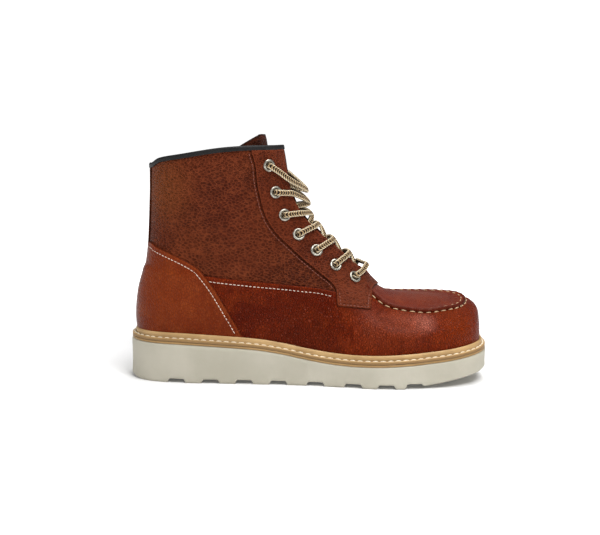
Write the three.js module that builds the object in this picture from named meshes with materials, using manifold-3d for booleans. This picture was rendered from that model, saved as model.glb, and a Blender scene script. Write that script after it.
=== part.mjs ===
// Laced ankle boot with a moc toe and a wedge sole, right foot.
// Millimetres. +X is the toe, +Y the inner side of the foot, +Z up.
import * as THREE from 'three';
import { mergeVertices } from 'three/addons/utils/BufferGeometryUtils.js';
import Module from 'manifold-3d';

const wasm = await Module();
wasm.setup();
const { Manifold, Mesh } = wasm;

// Driving sizes of the last
const FOOT_LENGTH = 300;
const BALL_WIDTH = 97;
const HEEL_WIDTH = 69;
const COLLAR_WIDTH = 78;
// Heights above the pitch line, which runs from the heel's seat to the ball's
const TOE_HEIGHT = 56.5;
const INSTEP_HEIGHT = 115;
const SHAFT_HEIGHT = 180;

// Sole
const HEEL_HEIGHT = 33;
const BALL_HEIGHT = 18;
const TOE_RISE = 10;
const TOE_SPRING = 12.5;
const GROOVE_DEPTH = 3.3;
const GROOVE_WIDTH = 16;
const GROOVE_SLANT = 2;
const MIDSOLE_THICKNESS = 2.3;
const WELT_THICKNESS = 2.5;
const WELT_REACH = 5.2;
const LIP_HEIGHT = 4.4;
const LIP_THICKNESS = 2.4;
const INSOLE_THICKNESS = 4;

// Upper
const WALL = 1.8;
const LAYER = 1.2;
const VAMP_STEP = 1.1;
const GAP = 0.3;
const RIM_WIDTH = 3.6;
const RIM_HEIGHT = 1.2;
const BINDING_HEIGHT = 3.7;
const BINDING_THICKNESS = 1;
const BACKSTAY_WIDTH = 17;
const THROAT_WIDTH = 28;
const TONGUE_THICKNESS = 3;
const TONGUE_WIDTH = 48;
const TONGUE_FLARE = 23;
const TONGUE_SET_BACK = 10;

// Eyelets and lace
const EYELET_BORE = 6.2;
const EYELET_WALL = 0.4;
const EYELET_FLANGE = 1.8;
const EYELET_HEIGHT = 1;
const LACE_WIDTH = 5;
const LACE_THICKNESS = 2.4;

// Places along the foot are shares of its length from the heel's back
const HEEL_X = -FOOT_LENGTH / 2;
const along = (share) => HEEL_X + share * FOOT_LENGTH;
const BALL_SHARE = 0.63;

// Height of the straight pitch line under the foot at x
function pitch(x) {
  const drop = (along(BALL_SHARE) - x) / (along(BALL_SHARE) - HEEL_X);
  return BALL_HEIGHT + (HEEL_HEIGHT - BALL_HEIGHT) * THREE.MathUtils.clamp(drop, 0, 1.2);
}

// Level 0 is the pitch line, 1 the toe's top, 2 the instep's bend and 3 the collar's front
function rise(level) {
  const steps = [TOE_HEIGHT, INSTEP_HEIGHT - TOE_HEIGHT, SHAFT_HEIGHT - INSTEP_HEIGHT];
  const first = Math.min(level, 1) * steps[0];
  const second = THREE.MathUtils.clamp(level - 1, 0, 1) * steps[1];
  return first + second + Math.max(level - 2, 0) * steps[2];
}

// A point of the side view, from its share of the length and its level
function sidePoint([share, level]) {
  const x = along(share);
  return new THREE.Vector2(x, pitch(x) + rise(level));
}

// Sections of the last, tip to collar. Each is a plane square to the side view, from a
// bottom point to a top point. Columns: bottom share and level, top share and level, the
// width that the row follows, then shares of it: the middle's and the ridge's offset to the
// inner side, the half width outside and inside; then the share of the height at which the
// section is widest, and the roundness above and below that place.
const SECTIONS = [
  [0.998, -0.28, 0.998, 0.95, BALL_WIDTH, 0.06, 0.15, 0.46, 0.40, 0.50, 2.0, 2.6],
  [0.857, -0.28, 0.857, 0.98, BALL_WIDTH, 0.04, 0.17, 0.485, 0.435, 0.50, 2.0, 2.6],
  [0.798, -0.28, 0.798, 0.99, BALL_WIDTH, 0.02, 0.17, 0.51, 0.47, 0.49, 2.0, 2.6],
  [0.725, -0.28, 0.725, 1.035, BALL_WIDTH, 0.00, 0.15, 0.515, 0.465, 0.47, 2.0, 2.6],
  [0.648, -0.28, 0.689, 1.165, BALL_WIDTH, -0.02, 0.11, 0.475, 0.425, 0.42, 2.1, 2.6],
  [0.558, -0.30, 0.653, 1.37, BALL_WIDTH, -0.03, 0.07, 0.415, 0.385, 0.38, 2.2, 2.6],
  [0.438, -0.36, 0.613, 1.58, HEEL_WIDTH, -0.03, 0.06, 0.525, 0.52, 0.36, 2.4, 2.6],
  [0.312, -0.42, 0.576, 1.75, HEEL_WIDTH, -0.01, 0.03, 0.51, 0.505, 0.35, 2.5, 2.5],
  [0.182, -0.46, 0.543, 1.90, HEEL_WIDTH, 0.00, 0.00, 0.50, 0.50, 0.34, 2.5, 2.4],
  [0.072, -0.39, 0.518, 2.03, HEEL_WIDTH, 0.00, 0.00, 0.495, 0.495, 0.33, 2.5, 2.4],
  [0.017, -0.10, 0.501, 2.12, HEEL_WIDTH, 0.00, 0.00, 0.49, 0.49, 0.34, 2.5, 2.4],
  [0.0015, 0.30, 0.487, 2.21, HEEL_WIDTH, 0.00, 0.00, 0.49, 0.49, 0.36, 2.5, 2.4],
  [0.006, 0.73, 0.473, 2.31, HEEL_WIDTH, 0.00, 0.00, 0.49, 0.49, 0.38, 2.5, 2.3],
  [0.023, 1.11, 0.459, 2.44, HEEL_WIDTH, 0.00, 0.00, 0.50, 0.50, 0.40, 2.5, 2.2],
  [0.032, 1.46, 0.449, 2.58, HEEL_WIDTH, 0.00, 0.00, 0.515, 0.515, 0.42, 2.5, 2.2],
  [0.036, 1.84, 0.441, 2.73, COLLAR_WIDTH, 0.00, 0.00, 0.475, 0.475, 0.45, 2.5, 2.2],
  [0.039, 2.21, 0.434, 2.88, COLLAR_WIDTH, 0.00, 0.00, 0.49, 0.49, 0.47, 2.5, 2.2],
  [0.040, 2.57, 0.427, 3.02, COLLAR_WIDTH, 0.00, 0.00, 0.50, 0.50, 0.48, 2.5, 2.2],
  [0.041, 2.90, 0.419, 3.30, COLLAR_WIDTH, 0.00, 0.00, 0.505, 0.505, 0.48, 2.5, 2.2],
];
const LAST_ROW = SECTIONS.length - 1;
// The toe rounds off in front of the first section behind the tip
const TOE_ROUND_PLAN = 2.1;
const TOE_ROUND_SIDE = 2.5;
const TOE_FRONT_LEVEL = 0.6;
const TIP_SHARE = SECTIONS[0][0];

// One row of the table in millimetres
function sectionRow([bShare, bLevel, tShare, tLevel, width, middle, ridge, out, inner, wide, up, low]) {
  const bottom = sidePoint([bShare, bLevel]);
  const top = sidePoint([tShare, tLevel]);
  return [bottom.x, bottom.y, top.x, top.y, middle * width, ridge * width, out * width,
    inner * width, wide, up, low];
}
const ROWS = SECTIONS.map(sectionRow);

// Values between four rows of numbers, smooth from row to row
function smoothRow(rows, place) {
  const last = rows.length - 1;
  const i = Math.min(Math.floor(place), last - 1);
  const f = place - i;
  const pick = (k) => rows[THREE.MathUtils.clamp(k, 0, last)];
  const [p0, p1, p2, p3] = [pick(i - 1), pick(i), pick(i + 1), pick(i + 2)];
  return p1.map((value, k) => 0.5 * (2 * value + (p2[k] - p0[k]) * f
    + (2 * p0[k] - 5 * value + 4 * p2[k] - p3[k]) * f * f
    + (3 * value - p0[k] - 3 * p2[k] + p3[k]) * f * f * f));
}

// Section of the last at station s, where 0 is the tip and each row adds 1
function sectionAt(s) {
  const toward = s < 1 ? Math.cos(s * Math.PI / 2) : 0;
  const row = smoothRow(ROWS, s < 1 ? 1 - toward : s);
  const [bx, bz, tx, tz, middle, ridge, out, inner, wide, up, low] = row;
  if (s >= 1) return { bx, bz, tx, tz, middle, ridge, out, inner, wide, up, low };
  const plan = (1 - toward ** TOE_ROUND_PLAN) ** (1 / TOE_ROUND_PLAN);
  const side = (1 - toward ** TOE_ROUND_SIDE) ** (1 / TOE_ROUND_SIDE);
  const frontZ = sidePoint([TIP_SHARE, TOE_FRONT_LEVEL]).y;
  const topZ = frontZ + (tz - frontZ) * side;
  const wideZ = bz + wide * (tz - bz);
  return { bx, bz, tx, tz: topZ, middle, ridge: middle + (ridge - middle) * plan, out: out * plan,
    inner: inner * plan, wide: Math.min(0.9, (wideZ - bz) / (topZ - bz)), up, low };
}

// Point of the last's surface. Angle 0 is the ridge, a positive angle the inner side.
function lastPoint(s, angle) {
  const r = sectionAt(s);
  const above = Math.cos(angle) >= 0;
  const power = 2 / (above ? r.up : r.low);
  const c = Math.abs(Math.cos(angle)) ** power;
  const q = Math.abs(Math.sin(angle)) ** power;
  const share = above ? r.wide + (1 - r.wide) * c : r.wide * (1 - c);
  const half = Math.sin(angle) > 0 ? r.inner : -r.out;
  const lean = above ? (r.ridge - r.middle) * c * c : 0;
  return new THREE.Vector3(
    r.bx + (r.tx - r.bx) * share, r.middle + lean + half * q, r.bz + (r.tz - r.bz) * share);
}

// Outward direction of the last's surface
function lastNormal(s, angle) {
  if (s < 1e-6) return new THREE.Vector3(1, 0, 0);
  const step = 0.01;
  const s0 = Math.max(s - step, 1e-3);
  const s1 = Math.min(s + step, LAST_ROW);
  const lengthwise = lastPoint(s1, angle).sub(lastPoint(s0, angle));
  const across = lastPoint(s, angle + step).sub(lastPoint(s, angle - step));
  return across.cross(lengthwise).normalize();
}

// Point at a distance outside the last, or inside it for a negative distance
function skinPoint(s, angle, distance) {
  return lastPoint(s, angle).addScaledVector(lastNormal(s, angle), distance);
}

// Solids from three.js geometry and back
function toSolid(geometry) {
  const bare = geometry.clone();
  bare.deleteAttribute('normal');
  bare.deleteAttribute('uv');
  const merged = mergeVertices(bare, 1e-4);
  const index = merged.index.array;
  const kept = [];
  for (let i = 0; i < index.length; i += 3) {
    const [a, b, c] = [index[i], index[i + 1], index[i + 2]];
    if (a !== b && b !== c && c !== a) kept.push(a, b, c);
  }
  return new Manifold(new Mesh({
    numProp: 3,
    vertProperties: new Float32Array(merged.attributes.position.array),
    triVerts: new Uint32Array(kept),
  }));
}

function toGeometry(solid) {
  const mesh = solid.getMesh();
  const geometry = new THREE.BufferGeometry();
  const places = new Float32Array(mesh.vertProperties);
  geometry.setAttribute('position', new THREE.BufferAttribute(places, 3));
  geometry.setIndex(new THREE.BufferAttribute(new Uint32Array(mesh.triVerts), 1));
  geometry.computeVertexNormals();
  return geometry;
}

// Geometry through rows of points. Rows close on themselves with wrap, and the row list
// closes on itself with loop; otherwise each end row is filled with a fan.
function loft(rows, loop) {
  const count = rows[0].length;
  const points = rows.flat();
  const triangles = [];
  const rowCount = loop ? rows.length : rows.length - 1;
  for (let i = 0; i < rowCount; i += 1) {
    const here = i * count;
    const next = ((i + 1) % rows.length) * count;
    for (let k = 0; k < count; k += 1) {
      const k1 = (k + 1) % count;
      triangles.push(here + k, here + k1, next + k, next + k, here + k1, next + k1);
    }
  }
  if (!loop) {
    for (const [start, flip] of [[0, false], [(rows.length - 1) * count, true]]) {
      const centre = new THREE.Vector3();
      for (let k = 0; k < count; k += 1) centre.addScaledVector(points[start + k], 1 / count);
      const hub = points.push(centre) - 1;
      for (let k = 0; k < count; k += 1) {
        const [a, b] = [start + k, start + (k + 1) % count];
        triangles.push(hub, flip ? a : b, flip ? b : a);
      }
    }
  }
  const geometry = new THREE.BufferGeometry();
  const places = points.flatMap((p) => [p.x, p.y, p.z]);
  geometry.setAttribute('position', new THREE.Float32BufferAttribute(places, 3));
  geometry.setIndex(triangles);
  return geometry;
}

// The whole last at a distance from its surface, as a solid
const TOE_STATIONS = 5;
const FOOT_STATIONS = 17;
const AROUND = 18;
function stationList() {
  const list = [];
  for (let i = 0; i < TOE_STATIONS; i += 1) list.push(i / TOE_STATIONS);
  for (let i = 0; i <= FOOT_STATIONS; i += 1) list.push(1 + (LAST_ROW - 1) * i / FOOT_STATIONS);
  return list;
}
const skins = new Map();
function skinSolid(distance) {
  const key = distance.toFixed(4);
  if (!skins.has(key)) {
    const rows = stationList().map((s) => Array.from({ length: AROUND },
      (_, k) => skinPoint(s, -Math.PI + 2 * Math.PI * k / AROUND, distance)));
    const tip = rows[0];
    for (let k = 1; k < AROUND; k += 1) tip[AROUND - k] = tip[k].clone();
    skins.set(key, toSolid(loft(rows, false)));
  }
  return skins.get(key);
}

// A sheet of the last's skin between two distances, over given stations and angles
function patchSolid(stations, angles, inner, outer) {
  const rows = stations.map((s) => {
    const across = angles(s);
    const top = across.map((angle) => outer(s, angle));
    const under = across.map((angle) => inner(s, angle)).reverse();
    return [...top, ...under];
  });
  return toSolid(loft(rows, false));
}

// Prisms: a side view pushed through the width, and a plan pushed through the height
const REACH = 4 * (BALL_WIDTH + FOOT_LENGTH);
const DEEP = { depth: REACH, bevelEnabled: false };
function sidePrism(points) {
  const geometry = new THREE.ExtrudeGeometry(new THREE.Shape(points), DEEP);
  geometry.rotateX(Math.PI / 2);
  geometry.translate(0, REACH / 2, 0);
  return toSolid(geometry);
}
function planPrism(points, from = -REACH / 2) {
  const geometry = new THREE.ExtrudeGeometry(new THREE.Shape(points), DEEP);
  geometry.translate(0, 0, from);
  return toSolid(geometry);
}

// A smooth line through points, and the same line moved to its left by a distance
function smoothLine(points, count) {
  return new THREE.SplineCurve(points).getPoints(count);
}
function shiftLine(points, distance) {
  return points.map((p, i) => {
    const back = points[Math.max(i - 1, 0)];
    const ahead = points[Math.min(i + 1, points.length - 1)];
    const run = ahead.clone().sub(back).normalize();
    return new THREE.Vector2(p.x - run.y * distance, p.y + run.x * distance);
  });
}
function heightOn(line, x) {
  const i = THREE.MathUtils.clamp(line.findIndex((p) => p.x > x), 1, line.length - 1);
  const [a, b] = [line[i - 1], line[i]];
  return a.y + (b.y - a.y) * (x - a.x) / (b.x - a.x);
}

// Top of the outsole in the side view. Columns: share of the length, share of the height
// between heel and ball, share of the toe's rise.
const SOLE_TOP = [
  [-0.049, 1.12, 0], [0.022, 1.03, 0], [0.102, 1.00, 0], [0.153, 0.98, 0], [0.249, 0.88, 0],
  [0.355, 0.74, 0], [0.431, 0.52, 0], [0.476, 0.34, 0], [0.526, 0.17, 0], [0.577, 0.05, 0],
  [0.627, 0.00, 0], [0.688, 0.00, 0.02], [0.759, 0.00, 0.12], [0.829, 0.00, 0.27],
  [0.905, 0.00, 0.50], [0.991, 0.00, 0.87], [1.051, 0.00, 1.15],
];
const SOLE_TOP_LINE = smoothLine(SOLE_TOP.map(([share, drop, lift]) => new THREE.Vector2(
  along(share), BALL_HEIGHT + drop * (HEEL_HEIGHT - BALL_HEIGHT) + lift * TOE_RISE)), 22);
const soleTop = (x) => heightOn(SOLE_TOP_LINE, x);
const seat = (x) => soleTop(x) + MIDSOLE_THICKNESS + GAP;

// Side-view band between two heights above the outsole's top
function soleBand(low, high) {
  const under = SOLE_TOP_LINE.map((p) => new THREE.Vector2(p.x, p.y + low));
  const over = SOLE_TOP_LINE.map((p) => new THREE.Vector2(p.x, p.y + high)).reverse();
  return sidePrism([...under, ...over]);
}

// Where the skin meets the seat on one side of the foot, tip to heel
const FOOT_LINE_POINTS = 40;
const FOOT_LINE_STEPS = 46;
function bisect(low, high, inside) {
  let [a, b] = [low, high];
  for (let i = 0; i < 40; i += 1) {
    const m = (a + b) / 2;
    if (inside(m)) a = m;
    else b = m;
  }
  return (a + b) / 2;
}
function sideFootLine(side, distance, height) {
  const over = (p) => p.z > seat(p.x) + height;
  const heel = bisect(LAST_ROW / 3, LAST_ROW, (s) => !over(skinPoint(s, Math.PI, distance)));
  const points = [];
  for (let i = 0; i <= FOOT_LINE_POINTS; i += 1) {
    const s = heel * Math.sin(i / FOOT_LINE_POINTS * Math.PI / 2);
    const angle = bisect(Math.PI / 3, Math.PI, (a) => over(skinPoint(s, side * a, distance)));
    const p = skinPoint(s, side * angle, distance);
    points.push(new THREE.Vector2(p.x, p.y));
  }
  return points;
}
function footLine(distance, height) {
  const outside = sideFootLine(-1, distance, height);
  const inside = sideFootLine(1, distance, height).reverse();
  const all = [...outside, ...inside.slice(1, -1)];
  const total = [0];
  all.forEach((p, i) => total.push(total[i] + p.distanceTo(all[(i + 1) % all.length])));
  return Array.from({ length: FOOT_LINE_STEPS }, (_, k) => {
    const reach = total[all.length] * k / FOOT_LINE_STEPS;
    const i = THREE.MathUtils.clamp(total.findIndex((t) => t > reach) - 1, 0, all.length - 1);
    const f = (reach - total[i]) / (total[i + 1] - total[i]);
    return all[i].clone().lerp(all[(i + 1) % all.length], f);
  });
}
// A closed plan line moved outward by a distance
function growLoop(points, distance) {
  const n = points.length;
  return points.map((p, i) => {
    const run = points[(i + 1) % n].clone().sub(points[(i + n - 1) % n]).normalize();
    return new THREE.Vector2(p.x + run.y * distance, p.y - run.x * distance);
  });
}
// The line runs from the tip along the outer side to the heel, so outward is on its left
const FEATHER = footLine(VAMP_STEP, WELT_THICKNESS + LIP_HEIGHT);
const soleLoop = (distance) => growLoop(FEATHER, -distance);

// Regions of the side view, bounded by seams. Each seam is a short list of shares and
// levels; grow widens the region across its seam.
const VAMP_SEAM = [[-0.059, 1.17], [0.092, 1.16], [0.203, 1.16], [0.255, 1.15], [0.345, 1.14],
  [0.409, 1.13], [0.474, 1.12], [0.527, 1.11], [0.577, 1.08], [0.637, 1.07]];
const COUNTER_SEAM = [[-0.059, 1.52], [0.039, 1.50], [0.060, 1.46], [0.098, 1.40], [0.143, 1.32],
  [0.182, 1.22], [0.207, 1.09], [0.231, 0.93], [0.253, 0.75], [0.273, 0.58], [0.292, 0.42],
  [0.314, 0.20], [0.345, -0.20]];
const FACING_REAR = [[0.324, 3.10], [0.333, 2.86], [0.343, 2.69], [0.347, 2.51], [0.353, 2.35],
  [0.365, 2.13], [0.380, 1.97], [0.403, 1.81], [0.431, 1.68], [0.481, 1.47], [0.526, 1.30],
  [0.559, 1.18], [0.574, 1.09]];
const FACING_TAB = [[0.578, 0.85], [0.673, 0.83], [0.679, 1.09], [0.700, 1.14], [0.720, 1.35]];
const COLLAR_LINE = [[-0.059, 2.45], [0.037, 2.58], [0.075, 2.68], [0.142, 2.76], [0.239, 2.87],
  [0.316, 2.93], [0.394, 2.97], [0.425, 2.99], [0.526, 3.04]];

const FAR = FOOT_LENGTH * 2;
function vampRegion(grow) {
  const seam = shiftLine(smoothLine(VAMP_SEAM.map(sidePoint), 10), grow);
  const end = sidePoint([0.660, 1.08]);
  return sidePrism([new THREE.Vector2(-FAR, seam[0].y), ...seam,
    new THREE.Vector2(end.x - grow, end.y + grow), new THREE.Vector2(end.x - grow, FAR),
    new THREE.Vector2(FAR, FAR), new THREE.Vector2(FAR, -FAR), new THREE.Vector2(-FAR, -FAR)]);
}
function counterRegion(grow) {
  const seam = shiftLine(smoothLine(COUNTER_SEAM.map(sidePoint), 14), grow);
  const last = seam[seam.length - 1];
  return sidePrism([new THREE.Vector2(-FAR, seam[0].y), ...seam,
    new THREE.Vector2(last.x, -FAR), new THREE.Vector2(-FAR, -FAR)]);
}
function facingRegion() {
  const rear = smoothLine(FACING_REAR.map(sidePoint), 10);
  const tab = FACING_TAB.map(sidePoint);
  return sidePrism([...rear, ...tab, new THREE.Vector2(FAR, tab[tab.length - 1].y + FAR),
    new THREE.Vector2(rear[0].x, FAR)]);
}
function aboveCollar(drop) {
  const edge = smoothLine(COLLAR_LINE.map(sidePoint), 9);
  const line = edge.map((p) => new THREE.Vector2(p.x, p.y - drop));
  return sidePrism([...line, new THREE.Vector2(FAR, FAR), new THREE.Vector2(-FAR, FAR)]);
}

// The moc apron in plan. Columns: share of the length, share of the ball's width.
const APRON_EDGE = [[0.658, -0.23], [0.703, -0.27], [0.764, -0.295], [0.824, -0.29], [0.875, -0.25],
  [0.925, -0.165], [0.950, -0.07], [0.959, 0.03], [0.955, 0.12], [0.935, 0.22], [0.895, 0.305],
  [0.834, 0.355], [0.764, 0.375], [0.703, 0.355], [0.658, 0.32]];
function apronRegion(grow) {
  const places = APRON_EDGE.map(([share, side]) => new THREE.Vector2(along(share), side * BALL_WIDTH));
  const edge = smoothLine(places, 17);
  return planPrism(shiftLine(edge, -grow), BALL_HEIGHT + TOE_HEIGHT / 3);
}

// The outer skin, with the vamp a step above the quarters, at a distance from its leather
function steppedSkin(distance) {
  const vamp = vampRegion(distance).subtract(apronRegion(-distance));
  return skinSolid(distance).add(skinSolid(VAMP_STEP + distance).intersect(vamp));
}
// A layer of leather laid over the upper inside a region
function overlay(region) {
  return steppedSkin(GAP + LAYER).subtract(steppedSkin(GAP)).intersect(region);
}

// Throat: half of its width along the stations, round at its lower end
const THROAT_START = 4.72;
const THROAT_ROUND = 0.75;
const THROAT_FLARE = 0.25;
function throatHalf(s) {
  const f = THREE.MathUtils.clamp((s - THROAT_START) / THROAT_ROUND, 0, 1);
  const flare = 1 + THROAT_FLARE * THREE.MathUtils.clamp((s - 8) / (LAST_ROW - 9), 0, 1);
  return THROAT_WIDTH / 2 * flare * Math.sqrt(1 - (1 - f) ** 2);
}
// Angle on the skin at a half width from the ridge
function angleAt(s, half, side) {
  const ridge = lastPoint(s, 0).y;
  return side * bisect(0, Math.PI / 2, (a) => Math.abs(lastPoint(s, side * a).y - ridge) < half);
}
function spread(from, to, count) {
  return Array.from({ length: count + 1 }, (_, i) => from + (to - from) * i / count);
}
function acrossThroat(s) {
  const half = throatHalf(s);
  return spread(-1, 1, 4).map((f) => angleAt(s, Math.abs(f) * half, Math.sign(f) || 1));
}
function throatSolid() {
  const start = THROAT_START + 0.004;
  const round = spread(0, Math.PI / 2, 5).map((turn) => start + THROAT_ROUND * (1 - Math.cos(turn)));
  const stations = [...round, ...spread(THROAT_START + THROAT_ROUND, LAST_ROW, 10).slice(1)];
  return patchSolid(stations, acrossThroat,
    (s, a) => skinPoint(s, a, -4 * WALL), (s, a) => skinPoint(s, a, 6 * LAYER));
}
const throat = throatSolid();
const belowSeat = soleBand(-FAR, MIDSOLE_THICKNESS + GAP);

// Eyelets, shares and levels of their centres on each side, collar to vamp
const EYELETS = [[0.380, 2.71], [0.399, 2.37], [0.425, 2.08], [0.466, 1.82], [0.517, 1.61],
  [0.572, 1.42], [0.627, 1.26]];
// Station and angle of the skin point that shows at a place of the side view
function onSkin(place, side) {
  const aim = sidePoint(place);
  const leftOf = (s) => {
    const r = sectionAt(s);
    return (r.tx - r.bx) * (aim.y - r.bz) - (r.tz - r.bz) * (aim.x - r.bx) > 0;
  };
  const s = bisect(2, LAST_ROW, leftOf);
  const r = sectionAt(s);
  const share = new THREE.Vector2(aim.x - r.bx, aim.y - r.bz).length()
    / new THREE.Vector2(r.tx - r.bx, r.tz - r.bz).length();
  const height = (a) => (lastPoint(s, side * a).z - r.bz) / (r.tz - r.bz);
  return [s, side * bisect(0, Math.PI, (a) => height(a) > share)];
}
const HOLE_SIDES = 6;
const EYELET_SIDES = 7;
const HOLE_RADIUS = (EYELET_BORE / 2 + EYELET_WALL + GAP) / Math.cos(Math.PI / HOLE_SIDES);
const FACING_TOP = GAP + LAYER;
// A turned part with its axis along the skin's outward direction at an eyelet
function placeOnSkin(geometry, s, angle) {
  const turn = new THREE.Quaternion().setFromUnitVectors(new THREE.Vector3(0, 1, 0), lastNormal(s, angle));
  geometry.applyQuaternion(turn);
  const p = lastPoint(s, angle);
  return geometry.translate(p.x, p.y, p.z);
}
const eyeletPlaces = EYELETS.map((place) => [-1, 1].map((side) => onSkin(place, side)));
function eyeletHoles() {
  const tools = eyeletPlaces.flat().map(([s, angle]) => toSolid(
    placeOnSkin(new THREE.CylinderGeometry(HOLE_RADIUS, HOLE_RADIUS, 8 * WALL, HOLE_SIDES), s, angle)));
  return tools.reduce((all, tool) => all.add(tool));
}
const holes = eyeletHoles();

// Sub-parts
function makeUpper() {
  const body = steppedSkin(0).subtract(skinSolid(-WALL)).subtract(belowSeat);
  return body.subtract(aboveCollar(BINDING_THICKNESS + GAP)).subtract(throat).subtract(holes);
}
// The counter stands on the welt's lip
function makeCounter() {
  const lipTop = MIDSOLE_THICKNESS + GAP + WELT_THICKNESS + LIP_HEIGHT;
  return overlay(counterRegion(0)).subtract(soleBand(-FAR, lipTop + GAP));
}
function makeBackstay() {
  const half = BACKSTAY_WIDTH / 2;
  const strip = planPrism([[-1, -1], [1, -1], [1, 1], [-1, 1]].map(([x, y]) => new THREE.Vector2(
    x > 0 ? along(0.2) : -FAR, y * half)));
  const layer = skinSolid(GAP + LAYER).subtract(skinSolid(GAP)).intersect(strip);
  return layer.subtract(counterRegion(GAP)).subtract(aboveCollar(BINDING_HEIGHT + GAP));
}
function makeFacing() {
  const layer = overlay(facingRegion()).subtract(aboveCollar(BINDING_HEIGHT + GAP));
  return layer.subtract(throat).subtract(holes);
}
function makeApron() {
  const plug = skinSolid(VAMP_STEP).subtract(skinSolid(GAP)).intersect(apronRegion(-GAP));
  const edge = apronRegion(-GAP).subtract(apronRegion(-GAP - RIM_WIDTH));
  const rim = skinSolid(VAMP_STEP + RIM_HEIGHT).subtract(skinSolid(GAP)).intersect(edge);
  return plug.add(rim).subtract(facingRegion());
}
function makeBinding() {
  const outer = skinSolid(GAP + BINDING_THICKNESS).subtract(skinSolid(-WALL - GAP - BINDING_THICKNESS));
  const wall = skinSolid(GAP).subtract(skinSolid(-WALL - GAP)).subtract(aboveCollar(BINDING_THICKNESS));
  const band = outer.subtract(aboveCollar(0)).intersect(aboveCollar(BINDING_HEIGHT));
  return band.subtract(wall).subtract(throat);
}
function makeInsole() {
  const band = soleBand(MIDSOLE_THICKNESS + GAP, MIDSOLE_THICKNESS + GAP + INSOLE_THICKNESS);
  return skinSolid(-WALL - GAP).intersect(band);
}
function makeMidsole() {
  return planPrism(soleLoop(WELT_REACH)).intersect(soleBand(GAP, MIDSOLE_THICKNESS));
}

// Storm welt: a flat ledge that carries the stitching, and a lip against the upper. The
// profile's columns are the distance out from the upper and the height over the midsole.
function makeWelt() {
  const top = WELT_THICKNESS + LIP_HEIGHT;
  const [lipTop, within] = [LIP_THICKNESS * 0.5, -3 * LIP_THICKNESS];
  const profile = [[WELT_REACH, 0], [WELT_REACH, WELT_THICKNESS], [LIP_THICKNESS, WELT_THICKNESS],
    [lipTop, top], [within, top], [within, 0]];
  const loops = profile.map(([out, height]) => (out === WELT_REACH ? soleLoop(out)
    : growLoop(footLine(VAMP_STEP, height), -out)));
  const rows = FEATHER.map((_, i) => profile.map(([, height], k) => {
    const p = loops[k][i];
    return new THREE.Vector3(p.x, p.y, seat(p.x) + height);
  }));
  return toSolid(loft(rows, true)).subtract(skinSolid(VAMP_STEP + GAP));
}

// Outsole: a wedge with slanted grooves across the tread
const GROOVES = [0.124, 0.221, 0.317, 0.414, 0.519, 0.625, 0.717, 0.796];
const TREAD = [[-0.044, 0.45], [-0.016, 0.16], [0.027, 0.00], [0.774, 0.00], [0.824, 0.18],
  [0.890, 0.42], [0.945, 0.64], [0.991, 0.84], [1.016, 1.00], [1.056, 1.15]];
function treadLine() {
  const line = TREAD.map(([share, lift]) => new THREE.Vector2(along(share), lift * TOE_SPRING));
  const points = [...line];
  for (const share of GROOVES) {
    const x = along(share);
    const [a, b] = [x - GROOVE_WIDTH / 2, x + GROOVE_WIDTH / 2];
    const roof = heightOn(line, x) + GROOVE_DEPTH;
    points.push(new THREE.Vector2(a, heightOn(line, a)), new THREE.Vector2(a + GROOVE_SLANT, roof),
      new THREE.Vector2(b - GROOVE_SLANT, roof), new THREE.Vector2(b, heightOn(line, b)));
  }
  const inGroove = (p) => GROOVES.some((share) => Math.abs(p.x - along(share)) < GROOVE_WIDTH / 2 - 0.01);
  const own = new Set(line);
  return points.filter((p) => !(own.has(p) && inGroove(p))).sort((p, q) => p.x - q.x);
}
function makeOutsole() {
  const side = sidePrism([...treadLine(), ...[...SOLE_TOP_LINE].reverse()]);
  return planPrism(soleLoop(WELT_REACH + 0.3)).intersect(side);
}

// Tongue: rises from under the apron, behind the lace, and stands above the collar
const TONGUE_START = 4.1;
const TONGUE_DEPTH = WALL + LACE_THICKNESS + 5 * GAP;
const TONGUE_TOP = [[0.270, 2.80], [0.296, 2.91], [0.324, 3.00], [0.355, 3.09], [0.367, 3.11],
  [0.441, 3.11]];
function tonguePoint(s, angle, inward) {
  const sink = THREE.MathUtils.smoothstep(s, TONGUE_START + 0.3, TONGUE_START + 1.4);
  const depth = THREE.MathUtils.lerp(WALL + 2 * GAP, TONGUE_DEPTH, sink) + inward;
  const back = TONGUE_SET_BACK * THREE.MathUtils.smoothstep(s, TONGUE_START + 3, LAST_ROW - 1);
  const p = skinPoint(s, angle, -depth);
  p.x -= back;
  return p;
}
function makeTongue() {
  const grown = (s) => TONGUE_FLARE * (s - TONGUE_START) / (LAST_ROW - TONGUE_START);
  const across = (s) => spread(-0.5, 0.5, 6).map(
    (f) => angleAt(s, Math.abs(f) * (TONGUE_WIDTH + grown(s)), Math.sign(f) || 1));
  const sheet = patchSolid(spread(TONGUE_START, LAST_ROW, 14), across,
    (s, a) => tonguePoint(s, a, TONGUE_THICKNESS), (s, a) => tonguePoint(s, a, 0));
  const line = smoothLine(TONGUE_TOP.map(sidePoint), 12);
  const [rear, front] = [line[0], line[line.length - 1]];
  const above = sidePrism([new THREE.Vector2(-FAR, rear.y), ...line,
    new THREE.Vector2(FAR, front.y), new THREE.Vector2(FAR, FAR), new THREE.Vector2(-FAR, FAR)]);
  return sheet.subtract(above);
}

// Eyelets: a flange on the facing and a barrel through facing and upper
function makeEyelet(s, angle) {
  const bore = EYELET_BORE / 2;
  const barrel = bore + EYELET_WALL;
  const seatAt = FACING_TOP + GAP;
  const [rim, top] = [barrel + EYELET_FLANGE, seatAt + EYELET_HEIGHT];
  const profile = [[bore, -WALL], [barrel, -WALL], [barrel, seatAt], [rim, seatAt],
    [rim - EYELET_FLANGE / 4, top], [barrel, top], [bore, -WALL]];
  const ring = new THREE.LatheGeometry(profile.map(([r, h]) => new THREE.Vector2(r, h)), EYELET_SIDES);
  return toSolid(placeOnSkin(ring, s, angle));
}

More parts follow.
